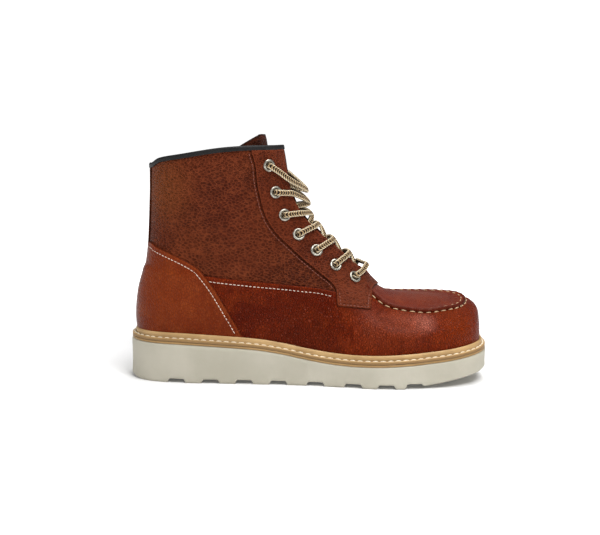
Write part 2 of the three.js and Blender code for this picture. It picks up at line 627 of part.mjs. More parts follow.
// Lace: flat oval strands, swept along a smooth line with the wide side on the boot
const LACE_SIDES = 6;
const LACE_STEPS = 5;
const CROSSINGS = [[0.490, 2.42], [0.496, 2.26], [0.504, 2.11], [0.528, 1.97], [0.571, 1.77], [0.619, 1.58]];
const BAR_APEX = [0.662, 1.45];
function sweepStrand(points, wides) {
  const path = new THREE.CatmullRomCurve3(points);
  const wide = new THREE.CatmullRomCurve3(wides);
  const rows = spread(0, 1, LACE_STEPS).map((t) => {
    const at = path.getPoint(t);
    const run = path.getTangent(t);
    const side = wide.getPoint(t).cross(run).normalize();
    const up = run.clone().cross(side).normalize();
    return Array.from({ length: LACE_SIDES }, (_, k) => {
      const turn = 2 * Math.PI * (k + 0.5) / LACE_SIDES;
      return at.clone().addScaledVector(side, Math.cos(turn) * LACE_WIDTH / 2)
        .addScaledVector(up, Math.sin(turn) * LACE_THICKNESS / 2);
    });
  });
  return toSolid(loft(rows, false));
}
const LACE_OVER = FACING_TOP + EYELET_HEIGHT + 4 * GAP + LACE_THICKNESS / 2;
const LACE_UNDER = WALL + 3 * GAP + LACE_THICKNESS / 2;
const EDGE_OVERLAP = 1.5;
function edgeSpot(s, side, distance) {
  const beyond = Math.sign(distance) * EDGE_OVERLAP;
  const angle = angleAt(s, throatHalf(s) + beyond, side);
  return [skinPoint(s, angle, distance), lastNormal(s, angle)];
}
const STRAND_DROP = 0.3;
// A strand leaves the outer side of one eyelet, passes over the throat and dips under the
// facing of the other side, toward the next eyelet below
function crossStrand(upper, lower, side, apex) {
  const out = skinPoint(...upper, LACE_OVER);
  const s = THREE.MathUtils.lerp(upper[0], lower[0], STRAND_DROP);
  const [overEdge, overNormal] = edgeSpot(s, side, LACE_OVER);
  const middle = new THREE.Vector3(apex.x, lastPoint(s, 0).y, apex.y);
  const [underEdge, underNormal] = edgeSpot(lower[0], -side, -LACE_UNDER);
  const normals = [lastNormal(...upper), overNormal, lastNormal(s, 0), underNormal];
  return sweepStrand([out, overEdge, middle, underEdge], normals);
}
function makeCrossing(row) {
  const apex = sidePoint(CROSSINGS[row]);
  const [upper, lower] = [eyeletPlaces[row], eyeletPlaces[row + 1]];
  const one = crossStrand(upper[0], lower[1], -1, apex);
  const other = crossStrand(upper[1], lower[0], 1, apex);
  return one.add(other);
}
// The lowest strand joins the last two eyelets on the outer side
function makeBar() {
  const [left, right] = eyeletPlaces[EYELETS.length - 1];
  const s = left[0];
  const apex = sidePoint(BAR_APEX);
  const [edgeLeft, normalLeft] = edgeSpot(s, -1, LACE_OVER);
  const [edgeRight, normalRight] = edgeSpot(s, 1, LACE_OVER);
  const middle = new THREE.Vector3(apex.x, lastPoint(s, 0).y, apex.y);
  const ends = [left, right].map((place) => skinPoint(...place, LACE_OVER));
  const normals = [lastNormal(...left), normalLeft, lastNormal(s, 0), normalRight, lastNormal(...right)];
  return sweepStrand([ends[0], edgeLeft, middle, edgeRight, ends[1]], normals);
}

// Materials
function material(color, roughness, metalness = 0) {
  return new THREE.MeshStandardMaterial({ color, roughness, metalness });
}
const russet = material(0x9c4420, 0.45);
const pebbled = material(0x6b3a22, 0.6);
const black = material(0x17171a, 0.6);
const tan = material(0xbf9a68, 0.6);
const offWhite = material(0xcdc9b8, 0.7);
const lining = material(0x1d1c1c, 0.8);
const silver = material(0x9a9a94, 0.35, 0.9);
const cord = material(0xb59a78, 0.85);

const boot = new THREE.Group();
function addPiece(name, solid, look) {
  const mesh = new THREE.Mesh(toGeometry(solid), look);
  mesh.name = name;
  boot.add(mesh);
  return mesh;
}
const outsole = addPiece('outsole', makeOutsole(), offWhite);
addPiece('midsole', makeMidsole(), tan);
addPiece('welt', makeWelt(), tan);
addPiece('insole', makeInsole(), lining);
addPiece('upper', makeUpper(), pebbled);
addPiece('counter', makeCounter(), russet);
addPiece('backstay', makeBackstay(), pebbled);
addPiece('facing', makeFacing(), pebbled);
addPiece('apron', makeApron(), russet);
addPiece('collar_binding', makeBinding(), black);
addPiece('tongue', makeTongue(), pebbled);
eyeletPlaces.forEach((pair, row) => pair.forEach(([s, angle], k) => {
  addPiece(`eyelet_${k ? 'inner' : 'outer'}_${row + 1}`, makeEyelet(s, angle), silver);
}));
CROSSINGS.forEach((_, row) => addPiece(`lace_crossing_${row + 1}`, makeCrossing(row), cord));
addPiece('lace_bar', makeBar(), cord);

// The origin is the middle of the part's box, on the floor
const box = new THREE.Box3().setFromObject(boot);
const middle = box.getCenter(new THREE.Vector3());
boot.position.set(-middle.x, -middle.y, -box.min.z);
boot.updateMatrixWorld(true);

export default boot;
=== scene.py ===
"""Laced ankle boot with a moc toe and a wedge sole: the looks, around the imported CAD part.

Lengths are millimetres in the tables and functions, and metres once they reach a mesh.
+X is the toe, +Y the inner side of the right foot, +Z up.
"""
import math
import random

import bmesh
import bpy
import numpy as np
from mathutils import Matrix, Vector
from mathutils.geometry import delaunay_2d_cdt
from mathutils.kdtree import KDTree

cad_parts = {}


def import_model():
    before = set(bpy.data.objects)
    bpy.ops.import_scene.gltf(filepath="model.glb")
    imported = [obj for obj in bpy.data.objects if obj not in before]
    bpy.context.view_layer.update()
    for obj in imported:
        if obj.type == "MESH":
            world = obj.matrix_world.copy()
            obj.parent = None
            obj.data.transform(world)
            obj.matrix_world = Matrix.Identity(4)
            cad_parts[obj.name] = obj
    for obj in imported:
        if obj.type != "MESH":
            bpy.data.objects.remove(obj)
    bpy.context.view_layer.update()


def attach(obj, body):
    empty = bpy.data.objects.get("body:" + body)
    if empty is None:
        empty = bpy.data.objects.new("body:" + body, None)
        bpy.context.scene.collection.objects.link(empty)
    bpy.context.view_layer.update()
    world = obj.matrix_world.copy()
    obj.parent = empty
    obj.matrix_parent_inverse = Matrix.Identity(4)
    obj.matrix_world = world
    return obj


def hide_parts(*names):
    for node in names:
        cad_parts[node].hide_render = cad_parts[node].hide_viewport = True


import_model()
MM = 0.001
TAU = 2 * math.pi
PI = math.pi
# The CAD part's own origin is the middle of its box: its sketch was moved by this much
OFFSET = np.array([-0.278, 1.143, 0.0])

# ---- Camera: the boot's outer side, from a little above

CAMERA_AT = Vector((-8.7, -900.0, 205.0))
CAMERA_AIM = Vector((-8.7, 0.0, 95.6))
CAMERA_ROLL = math.radians(0.6)
CAMERA_LENS = 61.99
SENSOR = 36.0
CLIP = 0.01, 20.0


def make_camera():
    data = bpy.data.cameras.new("camera")
    data.sensor_width = SENSOR
    data.lens = CAMERA_LENS
    data.clip_start, data.clip_end = CLIP
    camera = bpy.data.objects.new("camera", data)
    bpy.context.scene.collection.objects.link(camera)
    ahead = (CAMERA_AIM - CAMERA_AT).normalized()
    side = Vector((1.0, 0.0, 0.0))
    up = side.cross(ahead)
    right = side * math.cos(CAMERA_ROLL) + up * math.sin(CAMERA_ROLL)
    top = up * math.cos(CAMERA_ROLL) - side * math.sin(CAMERA_ROLL)
    turn = Matrix((right, top, -ahead)).transposed().to_4x4()
    camera.matrix_world = Matrix.Translation(CAMERA_AT * MM) @ turn
    bpy.context.scene.camera = camera


make_camera()

# ---- The last: the same named sizes and tables as the CAD part

FOOT_LENGTH = 300.0
BALL_WIDTH = 97.0
HEEL_WIDTH = 69.0
COLLAR_WIDTH = 78.0
TOE_HEIGHT = 56.5
INSTEP_HEIGHT = 115.0
SHAFT_HEIGHT = 180.0
HEEL_HEIGHT = 33.0
BALL_HEIGHT = 18.0
TOE_RISE = 10.0
TOE_SPRING = 12.5
GROOVE_DEPTH = 3.3
GROOVE_WIDTH = 16.0
GROOVE_SLANT = 2.0
MIDSOLE_THICKNESS = 2.3
WELT_THICKNESS = 2.5
WELT_REACH = 5.2
LIP_HEIGHT = 4.4
LIP_THICKNESS = 2.4
INSOLE_THICKNESS = 4.0
WALL = 1.8
LAYER = 1.2
VAMP_STEP = 1.1
GAP = 0.3
BACKSTAY_WIDTH = 17.0
THROAT_WIDTH = 28.0
TONGUE_THICKNESS = 3.0
TONGUE_WIDTH = 48.0
TONGUE_FLARE = 23.0
TONGUE_SET_BACK = 10.0
LACE_WIDTH = 5.0
LACE_THICKNESS = 2.6
HEEL_X = -FOOT_LENGTH / 2
BALL_SHARE = 0.63

# Columns as in the part: bottom and top of each section plane, the width it follows, its
# offsets, half widths, widest place and roundness
SECTIONS = [
    [0.998, -0.28, 0.998, 0.95, BALL_WIDTH, 0.06, 0.15, 0.46, 0.40, 0.50, 2.0, 2.6],
    [0.857, -0.28, 0.857, 0.98, BALL_WIDTH, 0.04, 0.17, 0.485, 0.435, 0.50, 2.0, 2.6],
    [0.798, -0.28, 0.798, 0.99, BALL_WIDTH, 0.02, 0.17, 0.51, 0.47, 0.49, 2.0, 2.6],
    [0.725, -0.28, 0.725, 1.035, BALL_WIDTH, 0.00, 0.15, 0.515, 0.465, 0.47, 2.0, 2.6],
    [0.648, -0.28, 0.689, 1.165, BALL_WIDTH, -0.02, 0.11, 0.475, 0.425, 0.42, 2.1, 2.6],
    [0.558, -0.30, 0.653, 1.37, BALL_WIDTH, -0.03, 0.07, 0.415, 0.385, 0.38, 2.2, 2.6],
    [0.438, -0.36, 0.613, 1.58, HEEL_WIDTH, -0.03, 0.06, 0.525, 0.52, 0.36, 2.4, 2.6],
    [0.312, -0.42, 0.576, 1.75, HEEL_WIDTH, -0.01, 0.03, 0.51, 0.505, 0.35, 2.5, 2.5],
    [0.182, -0.46, 0.543, 1.90, HEEL_WIDTH, 0.00, 0.00, 0.50, 0.50, 0.34, 2.5, 2.4],
    [0.072, -0.39, 0.518, 2.03, HEEL_WIDTH, 0.00, 0.00, 0.495, 0.495, 0.33, 2.5, 2.4],
    [0.017, -0.10, 0.501, 2.12, HEEL_WIDTH, 0.00, 0.00, 0.49, 0.49, 0.34, 2.5, 2.4],
    [0.0015, 0.30, 0.487, 2.21, HEEL_WIDTH, 0.00, 0.00, 0.49, 0.49, 0.36, 2.5, 2.4],
    [0.006, 0.73, 0.473, 2.31, HEEL_WIDTH, 0.00, 0.00, 0.49, 0.49, 0.38, 2.5, 2.3],
    [0.023, 1.11, 0.459, 2.44, HEEL_WIDTH, 0.00, 0.00, 0.50, 0.50, 0.40, 2.5, 2.2],
    [0.032, 1.46, 0.449, 2.58, HEEL_WIDTH, 0.00, 0.00, 0.515, 0.515, 0.42, 2.5, 2.2],
    [0.036, 1.84, 0.441, 2.73, COLLAR_WIDTH, 0.00, 0.00, 0.475, 0.475, 0.45, 2.5, 2.2],
    [0.039, 2.21, 0.434, 2.88, COLLAR_WIDTH, 0.00, 0.00, 0.49, 0.49, 0.47, 2.5, 2.2],
    [0.040, 2.57, 0.427, 3.02, COLLAR_WIDTH, 0.00, 0.00, 0.50, 0.50, 0.48, 2.5, 2.2],
    [0.041, 2.90, 0.419, 3.30, COLLAR_WIDTH, 0.00, 0.00, 0.505, 0.505, 0.48, 2.5, 2.2],
]
LAST_ROW = len(SECTIONS) - 1
TOE_ROUND_PLAN = 2.1
TOE_ROUND_SIDE = 2.5
TOE_FRONT_LEVEL = 0.6
TIP_SHARE = SECTIONS[0][0]

SOLE_TOP = [
    [-0.049, 1.12, 0], [0.022, 1.03, 0], [0.102, 1.00, 0], [0.153, 0.98, 0], [0.249, 0.88, 0],
    [0.355, 0.74, 0], [0.431, 0.52, 0], [0.476, 0.34, 0], [0.526, 0.17, 0], [0.577, 0.05, 0],
    [0.627, 0.00, 0], [0.688, 0.00, 0.02], [0.759, 0.00, 0.12], [0.829, 0.00, 0.27],
    [0.905, 0.00, 0.50], [0.991, 0.00, 0.87], [1.051, 0.00, 1.15],
]
VAMP_SEAM = [[-0.059, 1.13], [0.092, 1.12], [0.203, 1.12], [0.255, 1.11], [0.345, 1.10],
             [0.409, 1.10], [0.474, 1.095], [0.527, 1.09], [0.577, 1.06], [0.637, 1.05]]
COUNTER_SEAM = [[-0.059, 1.52], [0.039, 1.50], [0.060, 1.46], [0.098, 1.40], [0.143, 1.32],
                [0.182, 1.22], [0.207, 1.09], [0.231, 0.93], [0.253, 0.75], [0.273, 0.58],
                [0.292, 0.42], [0.314, 0.20], [0.345, -0.20]]
FACING_REAR = [[0.324, 3.10], [0.333, 2.86], [0.343, 2.69], [0.347, 2.51], [0.353, 2.35],
               [0.365, 2.13], [0.380, 1.97], [0.403, 1.81], [0.431, 1.68], [0.481, 1.47],
               [0.526, 1.30], [0.559, 1.18], [0.574, 1.09]]
FACING_TAB = [[0.578, 0.85], [0.673, 0.83], [0.679, 1.09]]
FACING_FRONT_SHARE = 0.703
COLLAR_LINE = [[-0.059, 2.45], [0.037, 2.58], [0.075, 2.68], [0.142, 2.76], [0.239, 2.87],
               [0.316, 2.93], [0.394, 2.97], [0.425, 2.99], [0.526, 3.04]]
APRON_EDGE = [[0.658, -0.23], [0.703, -0.27], [0.764, -0.295], [0.824, -0.29], [0.875, -0.25],
              [0.925, -0.165], [0.950, -0.07], [0.959, 0.03], [0.955, 0.12], [0.935, 0.22],
              [0.895, 0.305], [0.834, 0.355], [0.764, 0.375], [0.703, 0.355], [0.658, 0.32]]
EYELETS = [[0.380, 2.71], [0.399, 2.37], [0.425, 2.08], [0.466, 1.82], [0.517, 1.61],
           [0.572, 1.42], [0.627, 1.26]]
GROOVES = [0.124, 0.221, 0.317, 0.414, 0.519, 0.625, 0.717, 0.796]
TREAD = [[-0.044, 0.45], [-0.016, 0.16], [0.027, 0.00], [0.774, 0.00], [0.824, 0.18],
         [0.890, 0.42], [0.945, 0.64], [0.991, 0.84], [1.016, 1.00], [1.056, 1.15]]
TONGUE_TOP = [[0.270, 2.80], [0.296, 2.91], [0.324, 3.00], [0.355, 3.09], [0.367, 3.11],
              [0.441, 3.11]]
THROAT_START = 4.72
THROAT_ROUND = 0.75
THROAT_FLARE = 0.25
TONGUE_START = 4.1


def along(share):
    return HEEL_X + np.asarray(share, float) * FOOT_LENGTH


def pitch(x):
    drop = (along(BALL_SHARE) - x) / (along(BALL_SHARE) - HEEL_X)
    return BALL_HEIGHT + (HEEL_HEIGHT - BALL_HEIGHT) * np.clip(drop, 0, 1.2)


def rise(level):
    level = np.asarray(level, float)
    first = np.minimum(level, 1) * TOE_HEIGHT
    second = np.clip(level - 1, 0, 1) * (INSTEP_HEIGHT - TOE_HEIGHT)
    return first + second + np.maximum(level - 2, 0) * (SHAFT_HEIGHT - INSTEP_HEIGHT)


def side_points(table):
    """Places of the side view, share and level, as x and z."""
    table = np.asarray(table, float)
    x = along(table[..., 0])
    return np.stack([x, pitch(x) + rise(table[..., 1])], -1)


def section_rows():
    rows = []
    for b_share, b_level, t_share, t_level, width, mid, ridge, out, inner, wide, up, low in SECTIONS:
        bottom = side_points([b_share, b_level])
        top = side_points([t_share, t_level])
        rows.append([*bottom, *top, mid * width, ridge * width, out * width, inner * width,
                     wide, up, low])
    return np.array(rows)


ROWS = section_rows()


def smooth_row(rows, place):
    """Values between rows, smooth from row to row."""
    rows = np.asarray(rows, float)
    place = np.asarray(place, float)
    last = len(rows) - 1
    i = np.minimum(np.floor(place).astype(int), last - 1)
    f = (place - i)[..., None]
    p0, p1, p2, p3 = (rows[np.clip(i + k, 0, last)] for k in (-1, 0, 1, 2))
    return 0.5 * (2 * p1 + (p2 - p0) * f + (2 * p0 - 5 * p1 + 4 * p2 - p3) * f ** 2
                  + (3 * p1 - p0 - 3 * p2 + p3) * f ** 3)


def smooth_line(points, count):
    points = np.asarray(points, float)
    return smooth_row(points, np.linspace(0, len(points) - 1, count))


def section_at(s):
    s = np.asarray(s, float)
    toward = np.where(s < 1, np.cos(s * PI / 2), 0.0)
    row = smooth_row(ROWS, np.where(s < 1, 1 - toward, s))
    bx, bz, tx, tz, middle, ridge, out, inner, wide, up, low = np.moveaxis(row, -1, 0)
    plan = np.clip(1 - toward ** TOE_ROUND_PLAN, 0, 1) ** (1 / TOE_ROUND_PLAN)
    side = np.clip(1 - toward ** TOE_ROUND_SIDE, 0, 1) ** (1 / TOE_ROUND_SIDE)
    front = side_points([TIP_SHARE, TOE_FRONT_LEVEL])[1]
    toe = s < 1
    top = np.where(toe, front + (tz - front) * side, tz)
    wide_z = bz + wide * (tz - bz)
    wide = np.where(toe, np.minimum(0.9, (wide_z - bz) / (top - bz)), wide)
    ridge = np.where(toe, middle + (ridge - middle) * plan, ridge)
    return bx, bz, tx, top, middle, ridge, out * plan, inner * plan, wide, up, low


def last_point(s, angle):
    """Point of the last: angle 0 is the ridge, and a positive angle the inner side."""
    s, angle = np.broadcast_arrays(np.asarray(s, float), np.asarray(angle, float))
    bx, bz, tx, tz, middle, ridge, out, inner, wide, up, low = section_at(s)
    cos, sin = np.cos(angle), np.sin(angle)
    above = cos >= 0
    power = 2 / np.where(above, up, low)
    c = np.abs(cos) ** power
    q = np.abs(sin) ** power
    share = np.where(above, wide + (1 - wide) * c, wide * (1 - c))
    half = np.where(sin > 0, inner, -out)
    lean = np.where(above, (ridge - middle) * c * c, 0.0)
    return np.stack([bx + (tx - bx) * share, middle + lean + half * q, bz + (tz - bz) * share], -1)


def unit(v):
    return v / np.maximum(np.linalg.norm(v, axis=-1, keepdims=True), 1e-12)


def last_normal(s, angle):
    """Outward direction of the last, and straight ahead at its tip."""
    s, angle = np.broadcast_arrays(np.asarray(s, float), np.asarray(angle, float))
    step, tip = 0.01, 1e-3
    low = np.maximum(s - step, tip)
    high = np.minimum(np.maximum(s, tip) + step, LAST_ROW)
    lengthwise = last_point(high, angle) - last_point(low, angle)
    across = last_point(s, angle + step) - last_point(s, angle - step)
    normal = unit(np.cross(across, lengthwise))
    return np.where((s < tip)[..., None], np.array([1.0, 0.0, 0.0]), normal)


def skin(s, angle, distance):
    """Point at a distance outside the last: one distance, or one for each place."""
    return last_point(s, angle) + last_normal(s, angle) * np.asarray(distance, float)[..., None]


def bisect(low, high, inside, rounds=34):
    """Where a test that holds from low up stops holding on the way to high."""
    a, b = np.array(low, float), np.array(high, float)
    for _ in range(rounds):
        m = (a + b) / 2
        keep = inside(m)
        a, b = np.where(keep, m, a), np.where(keep, b, m)
    return (a + b) / 2


def on_skin(places, side, distance=0.0):
    """Station and angle of the skin points that show at x and z of the side view."""
    want = np.asarray(places, float)
    aim = want.copy()
    for _ in range(4):
        def before(s):
            bx, bz, tx, tz = section_at(s)[:4]
            return (tx - bx) * (aim[..., 1] - bz) - (tz - bz) * (aim[..., 0] - bx) > 0

        s = bisect(np.zeros(len(aim)), np.full(len(aim), float(LAST_ROW)), before)
        bx, bz, tx, tz, _, _, _, _, wide, up, low = section_at(s)
        share = (((aim[..., 0] - bx) * (tx - bx) + (aim[..., 1] - bz) * (tz - bz))
                 / ((tx - bx) ** 2 + (tz - bz) ** 2))
        above = share > wide
        c = np.where(above, (share - wide) / (1 - wide), 1 - share / wide)
        cos = np.clip(c, 0, 1) ** (np.where(above, up, low) / 2)
        angle = np.arccos(np.where(above, cos, -cos))
        shown = skin(s, side * angle, distance)
        aim = aim + 0.7 * (want - shown[..., [0, 2]])
    return s, side * angle


def throat_half(s):
    s = np.asarray(s, float)
    f = np.clip((s - THROAT_START) / THROAT_ROUND, 0, 1)
    flare = 1 + THROAT_FLARE * np.clip((s - 8) / (LAST_ROW - 9), 0, 1)
    return THROAT_WIDTH / 2 * flare * np.sqrt(1 - (1 - f) ** 2)


def angle_at(s, half, side):
    """Angle on the skin at a half width from the ridge."""
    s = np.asarray(s, float)
    ridge = last_point(s, 0.0)[..., 1]
    return side * bisect(np.zeros_like(s), np.full_like(s, PI / 2),
                         lambda a: np.abs(last_point(s, side * a)[..., 1] - ridge) < half)


SOLE_LINE = smooth_line(np.array([[along(share), BALL_HEIGHT + drop * (HEEL_HEIGHT - BALL_HEIGHT)
                                   + lift * TOE_RISE] for share, drop, lift in SOLE_TOP]), 200)


def sole_top(x):
    return np.interp(x, SOLE_LINE[:, 0], SOLE_LINE[:, 1])


def seat(x):
    return sole_top(x) + MIDSOLE_THICKNESS + GAP


FOOT_STEPS = 160


def foot_rows(distance, height):
    """Stations and angles where the skin is at a height over the seat, tip to heel."""
    heel = bisect(LAST_ROW / 3, LAST_ROW, lambda s: skin(s, PI, distance)[2]
                  <= seat(skin(s, PI, distance)[0]) + height)
    s = heel * np.sin(np.linspace(0, PI / 2, FOOT_STEPS + 1))
    sides = []
    for side in (-1, 1):
        def over(a):
            p = skin(s, side * a, distance)
            return p[:, 2] > seat(p[:, 0]) + height

        sides.append(bisect(np.full_like(s, PI / 3), np.full_like(s, PI), over))
    return s, *sides


def arc_on(line):
    """Distance along a line at each of its points."""
    return np.concatenate([[0], np.cumsum(np.linalg.norm(np.diff(line, axis=0), axis=1))])


def at_arcs(where, run, line):
    """Places on a line by the distance along it."""
    return np.stack([np.interp(where, run, line[:, k]) for k in range(line.shape[1])], -1)


LOOP_STEPS = 420


def foot_loop(distance, height):
    """The foot's line in plan, from the tip along the outer side and back on the inner side."""
    s, outer, inner = foot_rows(distance, height)
    one = skin(s, -outer, distance)[:, :2]
    other = skin(s, inner, distance)[::-1, :2]
    track = np.vstack([one, other[1:-1], one[:1]])
    run = arc_on(track)
    return at_arcs(np.linspace(0, run[-1], LOOP_STEPS, endpoint=False), run, track)


def smooth_closed(points, rounds):
    for _ in range(rounds):
        points = (np.roll(points, 1, 0) + 2 * points + np.roll(points, -1, 0)) / 4
    return points


def grow(loop, distance):
    """A closed plan line moved outward. It runs with its outside on the left."""
    run = unit(np.roll(loop, -1, 0) - np.roll(loop, 1, 0))
    return loop + np.stack([-run[:, 1], run[:, 0]], -1) * np.asarray(distance)


# ---- Meshes

def edit_mesh(mesh, change):
    work = bmesh.new()
    work.from_mesh(mesh)
    change(work)
    work.to_mesh(mesh)
    work.free()


def new_object(name, verts, faces, material, sharp=40.0, attributes=None):
    """A mesh in metres from millimetres of the part's sketch, smooth but for sharp edges."""
    mesh = bpy.data.meshes.new(name)
    places = (np.asarray(verts, float) + OFFSET) * MM
    mesh.from_pydata(places.tolist(), [], [list(map(int, f)) for f in faces])
    for key, values in (attributes or {}).items():
        field = mesh.attributes.new(key, "FLOAT", "POINT")
        field.data.foreach_set("value", np.asarray(values, np.float32))
    limit = math.radians(sharp)

    def shade_smooth(work):
        for face in work.faces:
            face.smooth = True
        for edge in work.edges:
            if len(edge.link_faces) == 2 and edge.calc_face_angle(0) > limit:
                edge.smooth = False

    edit_mesh(mesh, shade_smooth)
    mesh.materials.append(material)
    thing = bpy.data.objects.new(name, mesh)
    bpy.context.scene.collection.objects.link(thing)
    return thing


def new_solid(*args, **options):
    """A new object of a closed mesh, with its faces turned outward."""
    thing = new_object(*args, **options)
    edit_mesh(thing.data, lambda work: bmesh.ops.recalc_face_normals(work, faces=work.faces))
    return thing


def grid_faces(rows, columns, closed=False, start=0, flip=False):
    faces = []
    for i in range(rows - 1):
        for k in range(columns if closed else columns - 1):
            a = start + i * columns + k
            b = start + i * columns + (k + 1) % columns
            quad = (a, b, b + columns, a + columns)
            faces.append(quad[::-1] if flip else quad)
    return faces


def ring_faces(rows, columns):
    """Faces of closed sections that follow one another round a ring."""
    faces = []
    for i in range(rows):
        here, there = i * columns, (i + 1) % rows * columns
        for k in range(columns):
            after = (k + 1) % columns
            faces.append((here + k, here + after, there + after, there + k))
    return faces


def in_polygon(points, polygon):
    x, y = points[:, 0], points[:, 1]
    inside = np.zeros(len(points), bool)
    for (a, b), (c, d) in zip(polygon, np.roll(polygon, -1, 0)):
        if b != d:
            inside ^= ((b > y) != (d > y)) & (x < (c - a) * (y - b) / (d - b) + a)
    return inside


# Rough size on the skin of one station and of one radian, for the shape of the triangles
STATION_MM = 14.0
ANGLE_MM = 36.0


class Chart:
    """A flat map of the skin: stations one way and angles the other.

    A folded chart runs through the toe: outer stations are negative, and its angle is 0 on the
    ridge of both sides.
    """

    def __init__(self, folded=False):
        self.folded = folded

    def place(self, points):
        if self.folded:
            return np.abs(points[:, 0]), np.where(points[:, 0] < 0, -1, 1) * points[:, 1]
        return points[:, 0], points[:, 1]

    def base(self, points):
        return last_point(*self.place(points))

    def metric(self, points):
        """Squared lengths and the product of one unit's step both ways."""
        step = 0.004
        ds = self.base(points + [step, 0]) - self.base(points - [step, 0])
        da = self.base(points + [0, step]) - self.base(points - [0, step])
        ds, da = ds / (2 * step), da / (2 * step)
        return (ds * ds).sum(1), (ds * da).sum(1), (da * da).sum(1)

    def inset(self, loop, distance, closed=True):
        """A line moved to its left by millimetres on the skin."""
        if closed:
            run = np.roll(loop, -1, 0) - np.roll(loop, 1, 0)
        else:
            run = np.gradient(loop, axis=0)
        w = np.stack([-run[:, 1], run[:, 0]], -1)
        e, f, g = self.metric(loop)
        det = np.maximum(e * g - f * f, 1e-9)
        v = np.stack([(g * w[:, 0] - f * w[:, 1]) / det, (e * w[:, 1] - f * w[:, 0]) / det], -1)
        size = np.sqrt(e * v[:, 0] ** 2 + 2 * f * v[:, 0] * v[:, 1] + g * v[:, 1] ** 2)
        return loop + v / np.maximum(size, 1e-9)[:, None] * np.asarray(distance)[..., None]

    def even(self, line, spacing, closed):
        """A chart line with points at even spacing on the skin."""
        line = np.asarray(line, float)
        track = np.vstack([line, line[:1]]) if closed else line
        fine = np.vstack([track[i] + (track[i + 1] - track[i]) * np.linspace(0, 1, 8,
                          endpoint=False)[:, None] for i in range(len(track) - 1)] + [track[-1:]])
        run = arc_on(self.base(fine))
        count = max(4, int(round(run[-1] / spacing)))
        return at_arcs(np.linspace(0, run[-1], count, endpoint=not closed), run, fine)


TOE_CHART = Chart(folded=True)
CHART = Chart()


def signed_area(loop):
    x, y = loop[:, 0], loop[:, 1]
    return 0.5 * float((x * np.roll(y, -1) - np.roll(x, -1) * y).sum())


def nearest(points, line):
    """Distance from each point to a set of line points, in three dimensions."""
    tree = KDTree(len(line))
    for i, p in enumerate(line):
        tree.insert(p, i)
    tree.balance()
    found = [tree.find(p) for p in points]
    return np.array([f[2] for f in found]), np.array([f[1] for f in found])


def densify(line, spacing=0.25):
    run = arc_on(line)
    return at_arcs(np.linspace(0, run[-1], max(2, int(run[-1] / spacing))), run, line)


# Rows of points inside a panel's outline, and how near to it a point counts as on it
EDGE_ROWS = (0.3, 0.7, 1.3)
EDGE_TOUCH = 0.13
# Stations from row to row of the points inside, and how clear of the fold they stay
ROW_STEP = 0.105
PROBES = 9
FOLD_CLEAR = 1.2
FOLD_JOIN = 0.08
FOLD_SHARP = 0.7
CDT_NEAR = 1e-5


def triangles(points, edges):
    """Places and corners of the triangles between points, along the given edges."""
    out = delaunay_2d_cdt([Vector(p) for p in points], edges, [], 1, CDT_NEAR)
    return np.array([tuple(v) for v in out[0]]), np.array([tuple(f) for f in out[2]])


